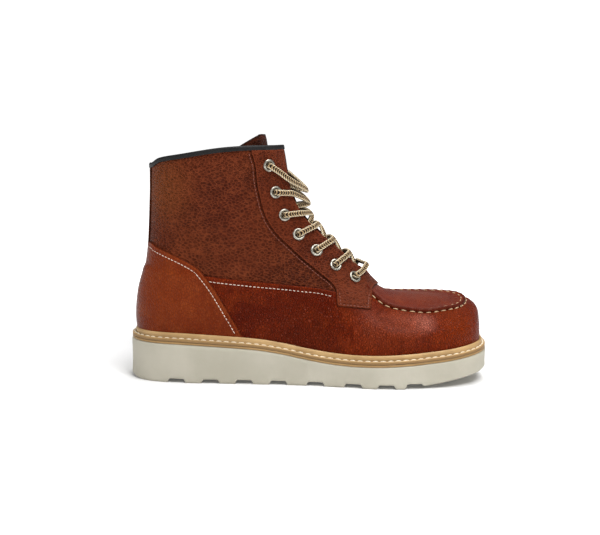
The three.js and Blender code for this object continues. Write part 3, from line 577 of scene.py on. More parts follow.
def panel(name, chart, corners, material, outer, inner, spacing=2.4, holes=(), edge_rows=EDGE_ROWS,
          edge_spacing=1.0, fold=False):
    """A sheet of leather over a region of the skin, with two faces and an edge.

    corners is a list of chart lines that make the region's outline; outer and inner give
    the distance from the last, by chart points, places and the distance from the outline.
    """
    lines = [chart.even(line, edge_spacing, False)[:-1] for line in corners]
    loop = np.vstack(lines)
    if signed_area(loop) < 0:
        loop = loop[::-1]
    hole_loops = [chart.even(h, edge_spacing * 0.7, True) for h in holes]
    hole_loops = [h if signed_area(h) < 0 else h[::-1] for h in hole_loops]
    outline = [loop, *hole_loops]
    solid_edge = []
    for k, ring in enumerate(outline):
        at = chart.base(np.vstack([ring, ring[:1]]))
        if k == 0 and fold:
            free = np.abs(ring[:, 1]) >= 1e-6
            solid_edge += [densify(at[i:i + 2]) for i in range(len(ring))
                           if free[i] or free[(i + 1) % len(ring)]]
        else:
            solid_edge.append(densify(at))
    edge_points = np.vstack(solid_edge)
    extra = []
    for ring in outline:
        for distance in edge_rows:
            moved = chart.inset(ring, distance)
            away, _ = nearest(chart.base(moved), edge_points)
            extra.append(moved[away > 0.8 * distance])
    low, high = loop.min(0), loop.max(0)
    rows = []
    for i, p in enumerate(np.arange(low[0], high[0], ROW_STEP)):
        probe = np.stack([np.full(PROBES, p), np.linspace(low[1], high[1], PROBES)], -1)
        size = np.sqrt(np.median(chart.metric(probe)[2]))
        step = spacing / max(size, 1.0)
        q = np.arange(low[1] + step * (0.5 if i % 2 else 1.0), high[1], step)
        rows.append(np.stack([np.full(len(q), p), q], -1))
    inside = np.vstack(rows)
    inside = inside[in_polygon(inside, loop)]
    for ring in hole_loops:
        inside = inside[~in_polygon(inside, ring)]
    away, _ = nearest(chart.base(inside), edge_points)
    inside = inside[away > edge_rows[-1] + 0.45 * spacing]
    if fold:
        inside = inside[inside[:, 1] * ANGLE_MM > FOLD_CLEAR]
    points = np.vstack([*outline, *extra, inside])
    edges = []
    start = 0
    for ring in outline:
        edges += [(start + i, start + (i + 1) % len(ring)) for i in range(len(ring))]
        start += len(ring)
    flat, tris = triangles(points * [STATION_MM, ANGLE_MM], edges)
    points = flat / [STATION_MM, ANGLE_MM]
    middle = points[tris].mean(1)
    keep = in_polygon(middle, loop)
    for ring in hole_loops:
        keep &= ~in_polygon(middle, ring)
    tris = tris[keep]
    used = np.unique(tris)
    index = np.full(len(points), -1)
    index[used] = np.arange(len(used))
    points, tris = points[used], index[tris]
    base = chart.base(points)
    away, _ = nearest(base, edge_points)
    away[away < EDGE_TOUCH] = 0
    s, a = chart.place(points)
    top = skin(s, a, outer(points, base, away))
    under = skin(s, a, inner(points, base, away))
    normals = last_normal(s, a)
    a0, b0, c0 = base[tris[:, 0]], base[tris[:, 1]], base[tris[:, 2]]
    turned = (np.cross(b0 - a0, c0 - a0) * normals[tris].mean(1)).sum(1) < 0
    tris[turned] = tris[turned][:, ::-1]
    n = len(points)
    faces = [tuple(t) for t in tris] + [tuple(t[::-1] + n) for t in tris]
    sides = dict.fromkeys((int(t[i]), int(t[(i + 1) % 3])) for t in tris for i in range(3))
    for i, k in sides:
        folded = fold and abs(points[i, 1]) < 1e-4 and abs(points[k, 1]) < 1e-4
        if (k, i) not in sides and not folded:
            faces.append((k, i, i + n, k + n))
    thing = new_object(name, np.vstack([top, under]), faces, material,
                       attributes={"edge": np.concatenate([away, away])})

    def join_fold(work):
        open_verts = [v for v in work.verts if any(e.is_boundary for e in v.link_edges)]
        bmesh.ops.remove_doubles(work, verts=open_verts, dist=FOLD_JOIN * MM)
        for edge in work.edges:
            edge.smooth = (edge.smooth or len(edge.link_faces) != 2
                           or edge.calc_face_angle(0) < FOLD_SHARP)

    if fold:
        edit_mesh(thing.data, join_fold)
    return thing


def rounded(away, width, drop):
    """How far a rounded edge falls below the sheet, by the distance from the edge."""
    t = 1 - np.clip(away / width, 0, 1)
    return drop * (1 - np.sqrt(np.clip(1 - t * t, 0, 1)))


def soft_step(value, low, high):
    t = np.clip((value - low) / (high - low), 0, 1)
    return t * t * (3 - 2 * t)


# ---- Seams as chart lines

def side_curve(table, side, distance, count, shift=0.0):
    """A seam of the side view on the skin, as stations and angles round the back."""
    line = smooth_line(side_points(table), count)
    if shift:
        run = unit(np.gradient(line, axis=0))
        line = line + np.stack([-run[:, 1], run[:, 0]], -1) * shift
    return on_skin(line, side, distance)


def round_back(a):
    """Angles measured through the back: the inner side below pi, the outer side above."""
    return np.where(a < 0, a + TAU, a)


SEAM_LINE = smooth_line(side_points(VAMP_SEAM), 120)


def below_vamp_seam(places, width=2.2):
    """0 on the quarters and 1 on the vamp, soft across the step."""
    level = np.interp(places[:, 0], SEAM_LINE[:, 0], SEAM_LINE[:, 1])
    return soft_step(level - places[:, 2], -width, width * 0.4)


COLLAR = smooth_line(side_points(COLLAR_LINE), 120)
# No skin line meets the collar below this station
COLLAR_FROM = 9.0


def collar_point(angle, drop):
    """Station where a skin line at each angle meets the collar line, lowered by drop."""
    def below(s):
        p = last_point(s, angle)
        return p[:, 2] < np.interp(p[:, 0], COLLAR[:, 0], COLLAR[:, 1]) - drop

    return bisect(np.full_like(angle, COLLAR_FROM), np.full_like(angle, float(LAST_ROW)), below)


def throat_edge(side, low, drop, count=70):
    """The throat's edge from station low up to the collar, as stations and angles."""
    s = np.linspace(low, LAST_ROW - 0.01, 200)[-40:]
    top = collar_point(angle_at(s, throat_half(s), side), drop)
    s_top = float(np.interp(0.0, s - top, s))
    s = low + (s_top - low) * (1 - np.cos(np.linspace(0, PI / 2, count)))
    return s, angle_at(s, throat_half(s), side)


# ---- Materials

def srgb(r, g, b):
    def linear(v):
        v = v / 255
        return v / 12.92 if v <= 0.04045 else ((v + 0.055) / 1.055) ** 2.4
    return (linear(r), linear(g), linear(b), 1.0)


def shade(colour, share):
    return tuple(c * share for c in colour[:3]) + (1.0,)


class Tree:
    """Short calls for a material's nodes."""

    def __init__(self, name):
        self.material = bpy.data.materials.new(name)
        self.material.use_nodes = True
        self.nodes = self.material.node_tree.nodes
        self.links = self.material.node_tree.links
        self.shader = self.nodes["Principled BSDF"]
        self.place = self.nodes.new("ShaderNodeTexCoord").outputs["Object"]

    def put(self, socket, value):
        if isinstance(value, bpy.types.NodeSocket):
            self.links.new(value, socket)
        else:
            socket.default_value = value

    def scaled(self, x, y, z, turn=(0, 0, 0)):
        node = self.nodes.new("ShaderNodeMapping")
        node.inputs["Scale"].default_value = (x, y, z)
        node.inputs["Rotation"].default_value = turn
        self.links.new(self.place, node.inputs["Vector"])
        return node.outputs["Vector"]

    def noise(self, scale, detail, rough=0.55, at=None, distortion=0.0):
        node = self.nodes.new("ShaderNodeTexNoise")
        node.inputs["Scale"].default_value = scale
        node.inputs["Detail"].default_value = detail
        node.inputs["Roughness"].default_value = rough
        node.inputs["Distortion"].default_value = distortion
        self.links.new(at or self.place, node.inputs["Vector"])
        return node.outputs["Fac"]

    def cells(self, scale, at, feature, randomness=1.0):
        node = self.nodes.new("ShaderNodeTexVoronoi")
        node.feature = feature
        node.inputs["Scale"].default_value = scale
        node.inputs["Randomness"].default_value = randomness
        if feature == "SMOOTH_F1":
            node.inputs["Smoothness"].default_value = 0.35
        self.links.new(at or self.place, node.inputs["Vector"])
        return node.outputs["Distance"]

    def math(self, kind, a, b=0.0):
        node = self.nodes.new("ShaderNodeMath")
        node.operation = kind
        for socket, value in zip(node.inputs, (a, b)):
            self.put(socket, value)
        return node.outputs[0]

    def times(self, a, b):
        return self.math("MULTIPLY", a, b)

    def plus(self, a, b):
        return self.math("ADD", a, b)

    def span(self, value, low, high, to_low=0.0, to_high=1.0):
        """A soft step from low to high. Low may be the greater of the two."""
        node = self.nodes.new("ShaderNodeMapRange")
        node.interpolation_type = "SMOOTHSTEP"
        for key, v in (("Value", value), ("From Min", low), ("From Max", high),
                       ("To Min", to_low), ("To Max", to_high)):
            self.put(node.inputs[key], v)
        return node.outputs["Result"]

    def mix(self, fac, a, b):
        node = self.nodes.new("ShaderNodeMix")
        node.data_type = "RGBA"
        node.clamp_factor = True
        colours = [s for s in node.inputs if s.type == "RGBA"]
        self.put(node.inputs["Factor"], fac)
        self.put(colours[0], a)
        self.put(colours[1], b)
        return [s for s in node.outputs if s.type == "RGBA"][0]

    def spot(self, x, y, z, radius, soft):
        """1 near a place in millimetres of the sketch, falling to 0 at the radius."""
        node = self.nodes.new("ShaderNodeVectorMath")
        node.operation = "DISTANCE"
        self.links.new(self.place, node.inputs[0])
        node.inputs[1].default_value = (np.array([x, y, z]) + OFFSET) * MM
        return self.span(node.outputs["Value"], radius * MM, radius * MM * (1 - soft))

    def axis(self, name):
        node = self.nodes.new("ShaderNodeSeparateXYZ")
        self.links.new(self.place, node.inputs[0])
        return node.outputs[name]

    def field(self, name):
        node = self.nodes.new("ShaderNodeAttribute")
        node.attribute_name = name
        return node.outputs["Fac"]

    def bump(self, height, distance, under=None):
        node = self.nodes.new("ShaderNodeBump")
        node.inputs["Strength"].default_value = 1.0
        node.inputs["Distance"].default_value = distance
        self.links.new(height, node.inputs["Height"])
        if under is not None:
            self.links.new(under, node.inputs["Normal"])
        return node.outputs["Normal"]

    def patched(self, colour, patches):
        """Soft round patches of another colour: place, radius, colour and amount of each."""
        for x, y, z, radius, tint, amount in patches:
            colour = self.mix(self.times(self.spot(x, y, z, radius, 0.9), amount), colour, tint)
        return colour

    def dark_edge_and_rim_highlight(self, colour, light, dark):
        """A dark cut edge, and a lighter line just inside it: partly rubbed wear, partly a highlight
        painted where the edge rolls over.
        """
        inner = self.span(self.field("edge"), 0.5, 0.9)
        # rim: a lighter line inside the edge, partly rubbed wear and partly a painted highlight
        rim = self.times(inner, self.span(self.field("edge"), 2.1, 1.2, 0.0, 0.5))
        colour = self.mix(rim, colour, light)
        return self.mix(self.span(self.field("edge"), 0.0, 0.9, 0.7, 0.0), colour, dark)

    def roughness(self, broad, medium, low, ends):
        """Roughness between two ends, by the broad and the medium noise."""
        both = self.plus(broad, self.times(medium, 0.4))
        return self.span(both, low, 0.95, *ends)

    def set(self, **values):
        names = {"colour": "Base Color", "rough": "Roughness", "normal": "Normal",
                 "metal": "Metallic", "coat": "Coat Weight", "coat_rough": "Coat Roughness",
                 "sheen": "Sheen Weight",
                 "specular": "Specular IOR Level", "tint": "Specular Tint"}
        for key, value in values.items():
            self.put(self.shader.inputs[names[key]], value)
        return self.material


WARM = (1.0, 0.46, 0.3, 1.0)


def pebbled_leather(name, dark, mid, light, depth=0.0006, cell=350, patches=()):
    """Milled leather: round pebbles with dark valleys, broad shade and rubbed places."""
    t = Tree(name)
    stretched = t.scaled(0.8, 1.0, 1.25, (0.1, 0.62, 0.0))
    pebble = t.cells(cell, stretched, "DISTANCE_TO_EDGE", 0.85)
    small = t.cells(cell * 1.9, stretched, "DISTANCE_TO_EDGE")
    broad = t.noise(14, 4, 0.6)
    medium = t.noise(90, 3, 0.6)
    colour = t.mix(t.span(broad, 0.35, 0.65), dark, mid)
    colour = t.mix(t.span(medium, 0.45, 0.75, 0.0, 0.5), colour, light)
    colour = t.patched(colour, patches)
    pit = t.times(t.span(pebble, 0.1, 0.32), t.span(t.noise(320, 2), 0.36, 0.62, 0.15, 0.55))
    colour = t.mix(pit, colour, shade(dark, 0.45))
    net = t.times(t.span(pebble, 0.15, 0.0), t.span(medium, 0.3, 0.6, 0.3, 0.6))
    colour = t.mix(net, colour, light)
    rub = t.times(t.span(t.noise(38, 5, 0.7), 0.6, 0.72), 0.35)
    colour = t.mix(rub, colour, light)
    scar = t.cells(95, t.scaled(1.0, 1.0, 0.35, (0.2, 0.9, 0.1)), "DISTANCE_TO_EDGE")
    worn = t.times(t.span(scar, 0.02, 0.0), t.span(t.noise(30, 2), 0.58, 0.66))
    colour = t.mix(t.times(worn, 0.45), colour, light)
    colour = t.dark_edge_and_rim_highlight(colour, light, shade(dark, 0.4))
    height = t.plus(t.span(pebble, 0.34, 0.0), t.times(t.span(small, 0.0, 0.3), 0.3))
    height = t.plus(height, t.times(t.noise(60, 2), 0.8))
    normal = t.bump(height, depth)
    return t.set(colour=colour, rough=t.roughness(broad, medium, 0.45, (0.42, 0.6)), normal=normal,
                 specular=0.1, tint=WARM)


def smooth_leather(name, dark, mid, light, patches, wrinkle, rough=(0.3, 0.45), scuffs=(), glint_streak_spots=(),
                   rolled=None):
    """Waxed full-grain leather: fine pores, scuffs, and upright streaks between its grain, raised
    in the bump, with painted highlight on them and painted shade between them.

    glint_streak_spots are the places where these streaks and their painted highlight are
    strongest; rolled is the colour of a band inside the edge, where the leather turns over.
    """
    t = Tree(name)
    broad = t.noise(11, 4, 0.6)
    medium = t.noise(70, 4, 0.62)
    fine = t.cells(900, None, "SMOOTH_F1")
    hair = t.noise(700, 2, 0.5)
    colour = t.mix(t.span(broad, 0.36, 0.64), dark, mid)
    colour = t.mix(t.span(medium, 0.42, 0.72, 0.0, 0.55), colour, light)
    colour = t.patched(colour, patches)
    colour = t.mix(t.span(fine, 0.45, 0.8, 0.0, 0.25), colour, shade(dark, 0.5))
    for x, y, z, radius, amount in scuffs:
        mark = t.times(t.spot(x, y, z, radius, 0.8), t.span(t.noise(160, 3, 0.7), 0.42, 0.6))
        colour = t.mix(t.times(mark, amount), colour, shade(dark, 0.2))
    colour = t.dark_edge_and_rim_highlight(colour, light, shade(dark, 0.42))
    if rolled is not None:
        band = t.times(t.span(t.field("edge"), 0.2, 0.7), t.span(t.field("edge"), 3.2, 1.9))
        colour = t.mix(t.times(band, 0.85), colour, rolled)
    pull = t.noise(270, 3, 0.6, t.scaled(1.0, 1.0, 0.3, (0.0, 0.12, 0.0)), 0.8)
    grain = t.cells(560, t.scaled(1.0, 1.0, 0.6, (0.0, 0.3, 0.0)), "DISTANCE_TO_EDGE")
    where = t.times(t.span(t.noise(22, 3, 0.6), 0.35, 0.6, 0.4, 1.0), 0.35)
    for x, y, z, radius in glint_streak_spots:
        where = t.math("MAXIMUM", where, t.spot(x, y, z, radius, 0.8))
    # painted highlight on the upright streaks, and painted shade in the troughs between them
    colour = t.mix(t.times(t.span(pull, 0.52, 0.64), t.times(where, 0.4)), colour, light)
    colour = t.mix(t.times(t.span(pull, 0.48, 0.37), t.times(where, 0.35)), colour, shade(dark, 0.4))
    colour = t.mix(t.span(grain, 0.0, 0.2, 0.45, 0.0), colour, shade(dark, 0.45))
    height = t.times(t.math("SUBTRACT", 1.0, fine), 0.5)
    height = t.plus(height, t.times(hair, 0.2))
    normal = t.bump(height, 0.00012)
    fold = t.plus(t.times(t.times(pull, where), 1.6), t.times(t.span(grain, 0.0, 0.3), 0.6))
    normal = t.bump(fold, wrinkle, normal)
    return t.set(colour=colour, rough=t.roughness(broad, medium, 0.4, rough), normal=normal,
                 coat=0.03, coat_rough=0.3, specular=0.13, tint=WARM)


DARK_BROWN = srgb(60, 23, 12)
BROWN = srgb(82, 34, 18)
LIGHT_BROWN = srgb(112, 54, 31)
OLIVE = srgb(108, 57, 25)
RUSSET_DARK = srgb(85, 19, 3)
RUSSET = srgb(115, 34, 6)
RUSSET_LIGHT = srgb(135, 50, 14)
ORANGE = srgb(131, 46, 7)
# Colour of the highlight painted on the vamp's shoulder
PINK_HIGHLIGHT = srgb(166, 82, 58)

M_QUARTER = pebbled_leather(
    "quarter_leather", DARK_BROWN, BROWN, LIGHT_BROWN,
    patches=[(-128, -25, 165, 42, OLIVE, 0.75), (-70, -38, 150, 40, srgb(74, 28, 17), 0.7),
             (-40, -38, 120, 36, srgb(82, 34, 18), 0.6), (-100, -38, 115, 30, srgb(94, 42, 21), 0.5)])
M_FACING = pebbled_leather(
    "facing_leather", srgb(65, 24, 12), srgb(82, 33, 17), srgb(106, 48, 27), cell=380, depth=0.0005,
    patches=[(40, -30, 75, 26, srgb(98, 45, 28), 0.7)])
M_TONGUE = pebbled_leather("tongue_leather", srgb(34, 12, 6), srgb(45, 17, 8), srgb(66, 28, 14))
# The vamp's patches at (97, -44, 59), (84, -46, 58) and (56, -50, 56) are a highlight painted on its
# shoulder
M_VAMP = smooth_leather(
    "vamp_leather", RUSSET_DARK, RUSSET, RUSSET_LIGHT, wrinkle=0.0016,
    patches=[(128, -30, 50, 34, ORANGE, 0.8), (97, -44, 59, 17, srgb(205, 128, 110), 0.8),
             (84, -46, 58, 26, PINK_HIGHLIGHT, 0.7), (56, -50, 56, 26, PINK_HIGHLIGHT, 0.4),
             (70, -50, 42, 40, srgb(119, 42, 12), 0.5), (-20, -40, 60, 45, srgb(93, 25, 6), 0.6),
             (0, -40, 35, 40, srgb(81, 22, 5), 0.6)],
    scuffs=[(14, -45, 75, 6, 0.8), (8, -46, 63, 7, 0.8), (-49, -38, 73, 6, 0.7)],
    glint_streak_spots=[(75, -52, 46, 60), (30, -50, 44, 40)])
M_COUNTER = smooth_leather(
    "counter_leather", srgb(103, 35, 9), srgb(121, 46, 15), srgb(141, 65, 27),
    patches=[(-120, -36, 70, 36, srgb(126, 51, 17), 0.6)], wrinkle=0.0007)
M_APRON = smooth_leather(
    "apron_leather", srgb(91, 26, 8), srgb(109, 36, 13), srgb(128, 54, 26), rough=(0.26, 0.4),
    patches=[(100, 5, 76, 30, srgb(121, 49, 19), 0.5)], wrinkle=0.0004,
    rolled=srgb(66, 15, 8))


def plain_material(name, dark, light, scale, depth, rough, sheen=0.0):
    """Two tones in soft clouds, with a fine grain."""
    t = Tree(name)
    colour = t.mix(t.span(t.noise(scale, 4, 0.6), 0.35, 0.68), dark, light)
    fine = t.noise(scale * 14, 3, 0.6)
    colour = t.mix(t.span(fine, 0.5, 0.8, 0.0, 0.35), colour, shade(dark, 0.6))
    return t.set(colour=colour, rough=rough, normal=t.bump(fine, depth), sheen=sheen, specular=0.2)


M_LINING = plain_material("black_lining", srgb(18, 17, 17), srgb(32, 30, 29), 60, 0.0001, 0.8, 0.05)
M_BINDING = plain_material("black_binding", srgb(13, 13, 14), srgb(26, 25, 25), 45, 0.00015, 0.55)
M_INSOLE = plain_material("insole_cover", srgb(44, 34, 28), srgb(66, 52, 42), 40, 0.0001, 0.75, 0.1)


def welt_material(name, dark, light, edge_dark):
    """Tan strip: lengthwise fibres, and darker by each corner's given darkness: darker at its lower
    edge, painted shade in the stitch groove, at the lip's foot and on the lip's inner side, with the
    lip's top left lightest.
    """
    t = Tree(name)
    fibre = t.noise(90, 5, 0.65, t.scaled(0.25, 0.25, 6.0))
    blot = t.noise(35, 4, 0.6)
    colour = t.mix(t.span(blot, 0.35, 0.65), dark, light)
    colour = t.mix(t.span(fibre, 0.45, 0.75, 0.0, 0.45), colour, edge_dark)
    # darker by each corner's darkness: the lower edge, and painted shade in the groove, at the lip's
    # foot and on the lip's inner side
    colour = t.mix(t.span(t.field("low"), 0.35, 0.65), colour, edge_dark)
    fine = t.noise(900, 3, 0.6)
    height = t.plus(t.times(fibre, 0.6), t.times(fine, 0.4))
    return t.set(colour=colour, rough=0.55, normal=t.bump(height, 0.0002), coat=0.05)


M_WELT = welt_material("welt_leather", srgb(166, 132, 84), srgb(190, 155, 104), srgb(136, 104, 60))
M_MIDSOLE = welt_material("midsole_leather", srgb(146, 114, 68), srgb(162, 128, 80),
                          srgb(126, 96, 56))


def foam_material():
    """Off-white foam rubber: faint skin, specks, and a little darker in patches towards the floor."""
    t = Tree("foam_rubber")
    cloud = t.noise(18, 4, 0.6)
    colour = t.mix(t.span(cloud, 0.35, 0.7), srgb(170, 165, 149), srgb(182, 177, 162))
    specks = t.cells(130, None, "F1")
    some = t.times(t.span(specks, 0.09, 0.05), t.span(t.noise(45, 1), 0.6, 0.64))
    colour = t.mix(t.times(some, 0.7), colour, srgb(120, 104, 84))
    # a little darker in patches within 4 mm of the floor
    low = t.span(t.axis("Z"), 0.004, 0.0, 0.0, 0.35)
    colour = t.mix(t.times(low, t.noise(200, 4, 0.7)), colour, srgb(150, 140, 122))
    height = t.plus(t.noise(650, 3, 0.6), t.times(t.noise(120, 2), 0.6))
    return t.set(colour=colour, rough=0.62, normal=t.bump(height, 0.00012), specular=0.35)


M_FOAM = foam_material()


def thread_material(name, dark, light):
    """Waxed thread with a fine twist."""
    t = Tree(name)
    twist = t.noise(1400, 2, 0.5)
    colour = t.mix(t.span(twist, 0.35, 0.65), dark, light)
    return t.set(colour=colour, rough=0.6, normal=t.bump(twist, 0.0001), sheen=0.2)


M_THREAD = thread_material("cream_thread", srgb(204, 190, 160), srgb(240, 232, 210))
M_THREAD_WHITE = thread_material("white_thread", srgb(200, 178, 160), srgb(236, 222, 208))
M_THREAD_DULL = thread_material("dull_thread", srgb(150, 114, 80), srgb(204, 170, 130))
M_THREAD_RED = thread_material("red_thread", srgb(92, 40, 24), srgb(124, 60, 38))


def metal_material():
    """Antique silver, brighter where it rubs."""
    t = Tree("antique_silver")
    wear = t.noise(420, 4, 0.6)
    colour = t.mix(t.span(wear, 0.4, 0.65), srgb(124, 120, 110), srgb(196, 192, 180))
    rough = t.span(t.noise(300, 3, 0.6), 0.3, 0.7, 0.3, 0.5)
    return t.set(colour=colour, rough=rough, metal=0.9, normal=t.bump(wear, 0.00006))


M_METAL = metal_material()


# Millimetres from one plait of the lace to the next
PLAIT = 2.3


def lace_material():
    """Flat braid: beige with a dark brown stripe, both broken by the plaits' ticks."""
    t = Tree("braided_lace")
    run = t.field("run")
    # plaits slant one way on each half of the width
    slant = t.math("ABSOLUTE", t.math("SUBTRACT", t.field("round"), 0.5))
    shift = t.math("SUBTRACT", run, t.times(slant, 5.0))
    wave = t.math("SINE", t.times(shift, TAU / PLAIT))
    ticks = t.span(wave, -0.1, 0.5)
    middle = t.span(slant, 0.24, 0.17)
    cream = t.mix(ticks, srgb(190, 168, 134), srgb(238, 224, 194))
    centre = t.mix(ticks, srgb(26, 17, 13), srgb(186, 156, 114))
    colour = t.mix(middle, cream, centre)
    spine = t.span(slant, 0.05, 0.02)
    colour = t.mix(t.times(spine, 0.8), colour, srgb(36, 24, 18))
    height = t.plus(wave, t.times(t.noise(2500, 2), 0.6))
    return t.set(colour=colour, rough=0.85, normal=t.bump(height, 0.0004), sheen=0.05,
                 specular=0.1)


M_LACE = lace_material()

# ---- Pieces

BODY = "root"


def keep(piece, slot, *nodes):
    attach(piece, BODY)
    if nodes:
        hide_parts(*nodes)
    return piece


def chart_line(s, a):
    return np.stack([np.broadcast_to(s, np.shape(a)), a], -1)


def joined(lines):
    """The lines of an outline, each run on to where the next one starts."""
    return [np.vstack([line, after[:1]]) for line, after in zip(lines, lines[1:] + lines[:1])]


# Soft troughs and ridges of wear: side, share and level of each end, depth and width in mm
CREASES = [
    (-1, 0.560, 0.86, 0.520, 0.22, 0.55, 5.0), (-1, 0.600, 0.74, 0.575, 0.20, -0.35, 5.0),
    (-1, 0.640, 0.72, 0.640, 0.24, 0.40, 5.0), (-1, 0.690, 0.78, 0.700, 0.34, 0.30, 5.0),
    (1, 0.570, 0.86, 0.530, 0.22, 0.5, 5.0), (1, 0.640, 0.72, 0.640, 0.24, 0.40, 5.0),
    (-1, 0.140, 2.05, 0.300, 1.85, 0.9, 9.0), (-1, 0.110, 1.75, 0.270, 1.60, 0.6, 8.0),
    (-1, 0.060, 2.40, 0.180, 2.62, -0.7, 12.0), (-1, 0.300, 2.30, 0.200, 2.55, 0.6, 10.0),
    (1, 0.140, 2.05, 0.300, 1.85, 0.9, 9.0), (1, 0.060, 2.40, 0.180, 2.62, -0.7, 12.0),
    (-1, 0.330, 1.72, 0.420, 1.40, 0.5, 7.0), (1, 0.330, 1.72, 0.420, 1.40, 0.5, 7.0),
]


# A crease fades out within this distance of the ridge
RIDGE_CLEAR = 14.0


def crease_depth(base):
    """How far the creases sink the skin at places of the sketch."""
    total = np.zeros(len(base))
    for side, share0, level0, share1, level1, depth, width in CREASES:
        a, b = side_points([[share0, level0], [share1, level1]])
        run = b - a
        t = np.clip(((base[:, [0, 2]] - a) @ run) / (run @ run), 0, 1)
        away = np.linalg.norm(base[:, [0, 2]] - (a + t[:, None] * run), axis=1)
        fade = np.sin(PI * np.clip(0.15 + 0.7 * t, 0, 1))
        near = (np.sign(base[:, 1]) == side) * np.clip(np.abs(base[:, 1]) / RIDGE_CLEAR, 0, 1)
        total += depth * fade * near * np.exp(-(away / width) ** 2)
    return total


def wave(base, size, seed):
    """Gentle unevenness of the leather, within one unit up or down."""
    turn = np.array([[1.0, 0.3, 0.5], [-0.4, 1.0, 0.3], [0.3, -0.5, 1.0]])
    p = base @ turn.T / size + seed
    return (np.sin(p[:, 0]) + np.sin(1.7 * p[:, 1] + 1.3) + np.sin(2.3 * p[:, 2] + 0.7)) / 3


# Foot lines for the pieces' lower edges
S_FOOT, FOOT_OUT, FOOT_IN = foot_rows(0.0, 1.0)


def foot_angle(s, side):
    return side * np.interp(s, S_FOOT, FOOT_OUT if side < 0 else FOOT_IN)


HEEL_STATION = float(S_FOOT[-1])
QUARTER_FRONT = 4.95
ROWS_OF_EYELETS = len(EYELETS)


def foot_line(side, low):
    """The foot's line from a station back to the heel, with angles round the back."""
    s = np.linspace(low, HEEL_STATION, 80)
    a = foot_angle(s, side)
    return chart_line(s, TAU + a) if side < 0 else chart_line(s, a)[::-1]


def make_quarters():
    """Quarters and their black lining, under the vamp, counter and facings."""
    drop = 0.9
    s_in, a_in = throat_edge(1, QUARTER_FRONT, drop)
    s_out, a_out = throat_edge(-1, QUARTER_FRONT, drop)
    collar = np.linspace(a_in[-1], TAU - a_in[-1], 160)
    front_out = np.linspace(round_back(a_out)[0], TAU + foot_angle(QUARTER_FRONT, -1), 30)
    front_in = np.linspace(foot_angle(QUARTER_FRONT, 1), a_in[0], 30)
    lines = [chart_line(s_in, a_in), chart_line(collar_point(collar, drop), collar),
             chart_line(s_out, round_back(a_out))[::-1], chart_line(QUARTER_FRONT, front_out),
             foot_line(-1, QUARTER_FRONT), foot_line(1, QUARTER_FRONT),
             chart_line(QUARTER_FRONT, front_in)]
    holes = [eyelet_hole(row, side) for row in range(ROWS_OF_EYELETS) for side in (-1, 1)]

    def outer(points, base, away):
        swell = 0.25 * wave(base, 16, 1.0)
        return -crease_depth(base) * 0.8 + swell - 0.25 - rounded(away, 0.9, 0.3)

    quarters = panel("quarters", CHART, lines, M_QUARTER, outer, lambda p, b, d: -1.0,
                     spacing=2.6, holes=holes)
    keep(quarters, "leather_pebbled", "upper")
    lining = panel("lining", CHART, lines, M_LINING, lambda p, b, d: -1.05,
                   lambda p, b, d: -WALL + rounded(d, 0.8, 0.25),
                   spacing=4.0, holes=holes, edge_rows=(0.6,), edge_spacing=1.6)
    keep(lining, "lining_black")


def eyelet_place(row, side):
    s, a = on_skin(side_points(EYELETS)[row:row + 1], side)
    return float(s[0]), float(a[0])


HOLE_RADIUS = 3.65


def eyelet_hole(row, side):
    """A round hole's outline in the chart of the skin."""
    s, a = eyelet_place(row, side)
    if side < 0:
        a += TAU
    e, f, g = (float(v[0]) for v in CHART.metric(np.array([[s, a]])))
    matrix = np.linalg.cholesky(np.linalg.inv(np.array([[e, f], [f, g]])))
    turn = np.linspace(0, TAU, 24, endpoint=False)
    ring = np.stack([np.cos(turn), np.sin(turn)], -1) * HOLE_RADIUS
    return np.array([s, a]) + ring @ matrix.T


def plan_to_skin(places):
    """Station and angle of the skin's upper side at x and y of the plan."""
    def angle_for(s):
        ridge = last_point(s, 0.0)[:, 1]
        side = np.where(places[:, 1] > ridge, 1.0, -1.0)
        half = np.abs(places[:, 1] - ridge)
        return side * bisect(np.zeros_like(s), np.full_like(s, PI / 2),
                             lambda a: np.abs(last_point(s, side * a)[:, 1] - ridge) < half, 26)

    def ahead(s):
        return last_point(s, angle_for(s))[:, 0] > places[:, 0]

    s = bisect(np.full(len(places), 0.02), np.full(len(places), 6.0), ahead, 28)
    return s, angle_for(s)


# The apron's edge on the skin
APRON_S, APRON_A = plan_to_skin(smooth_line(
    [[along(share), across * BALL_WIDTH] for share, across in APRON_EDGE], 150))


# Where the vamp ends under the counter
VAMP_REAR = [(0.150, 1.16), (0.205, 0.90), (0.245, 0.50), (0.268, 0.10), (0.280, -0.20)]
# Crowded points round the toe's tip are joined
TIP_RADIUS = 9.0
TIP_JOIN = 0.9


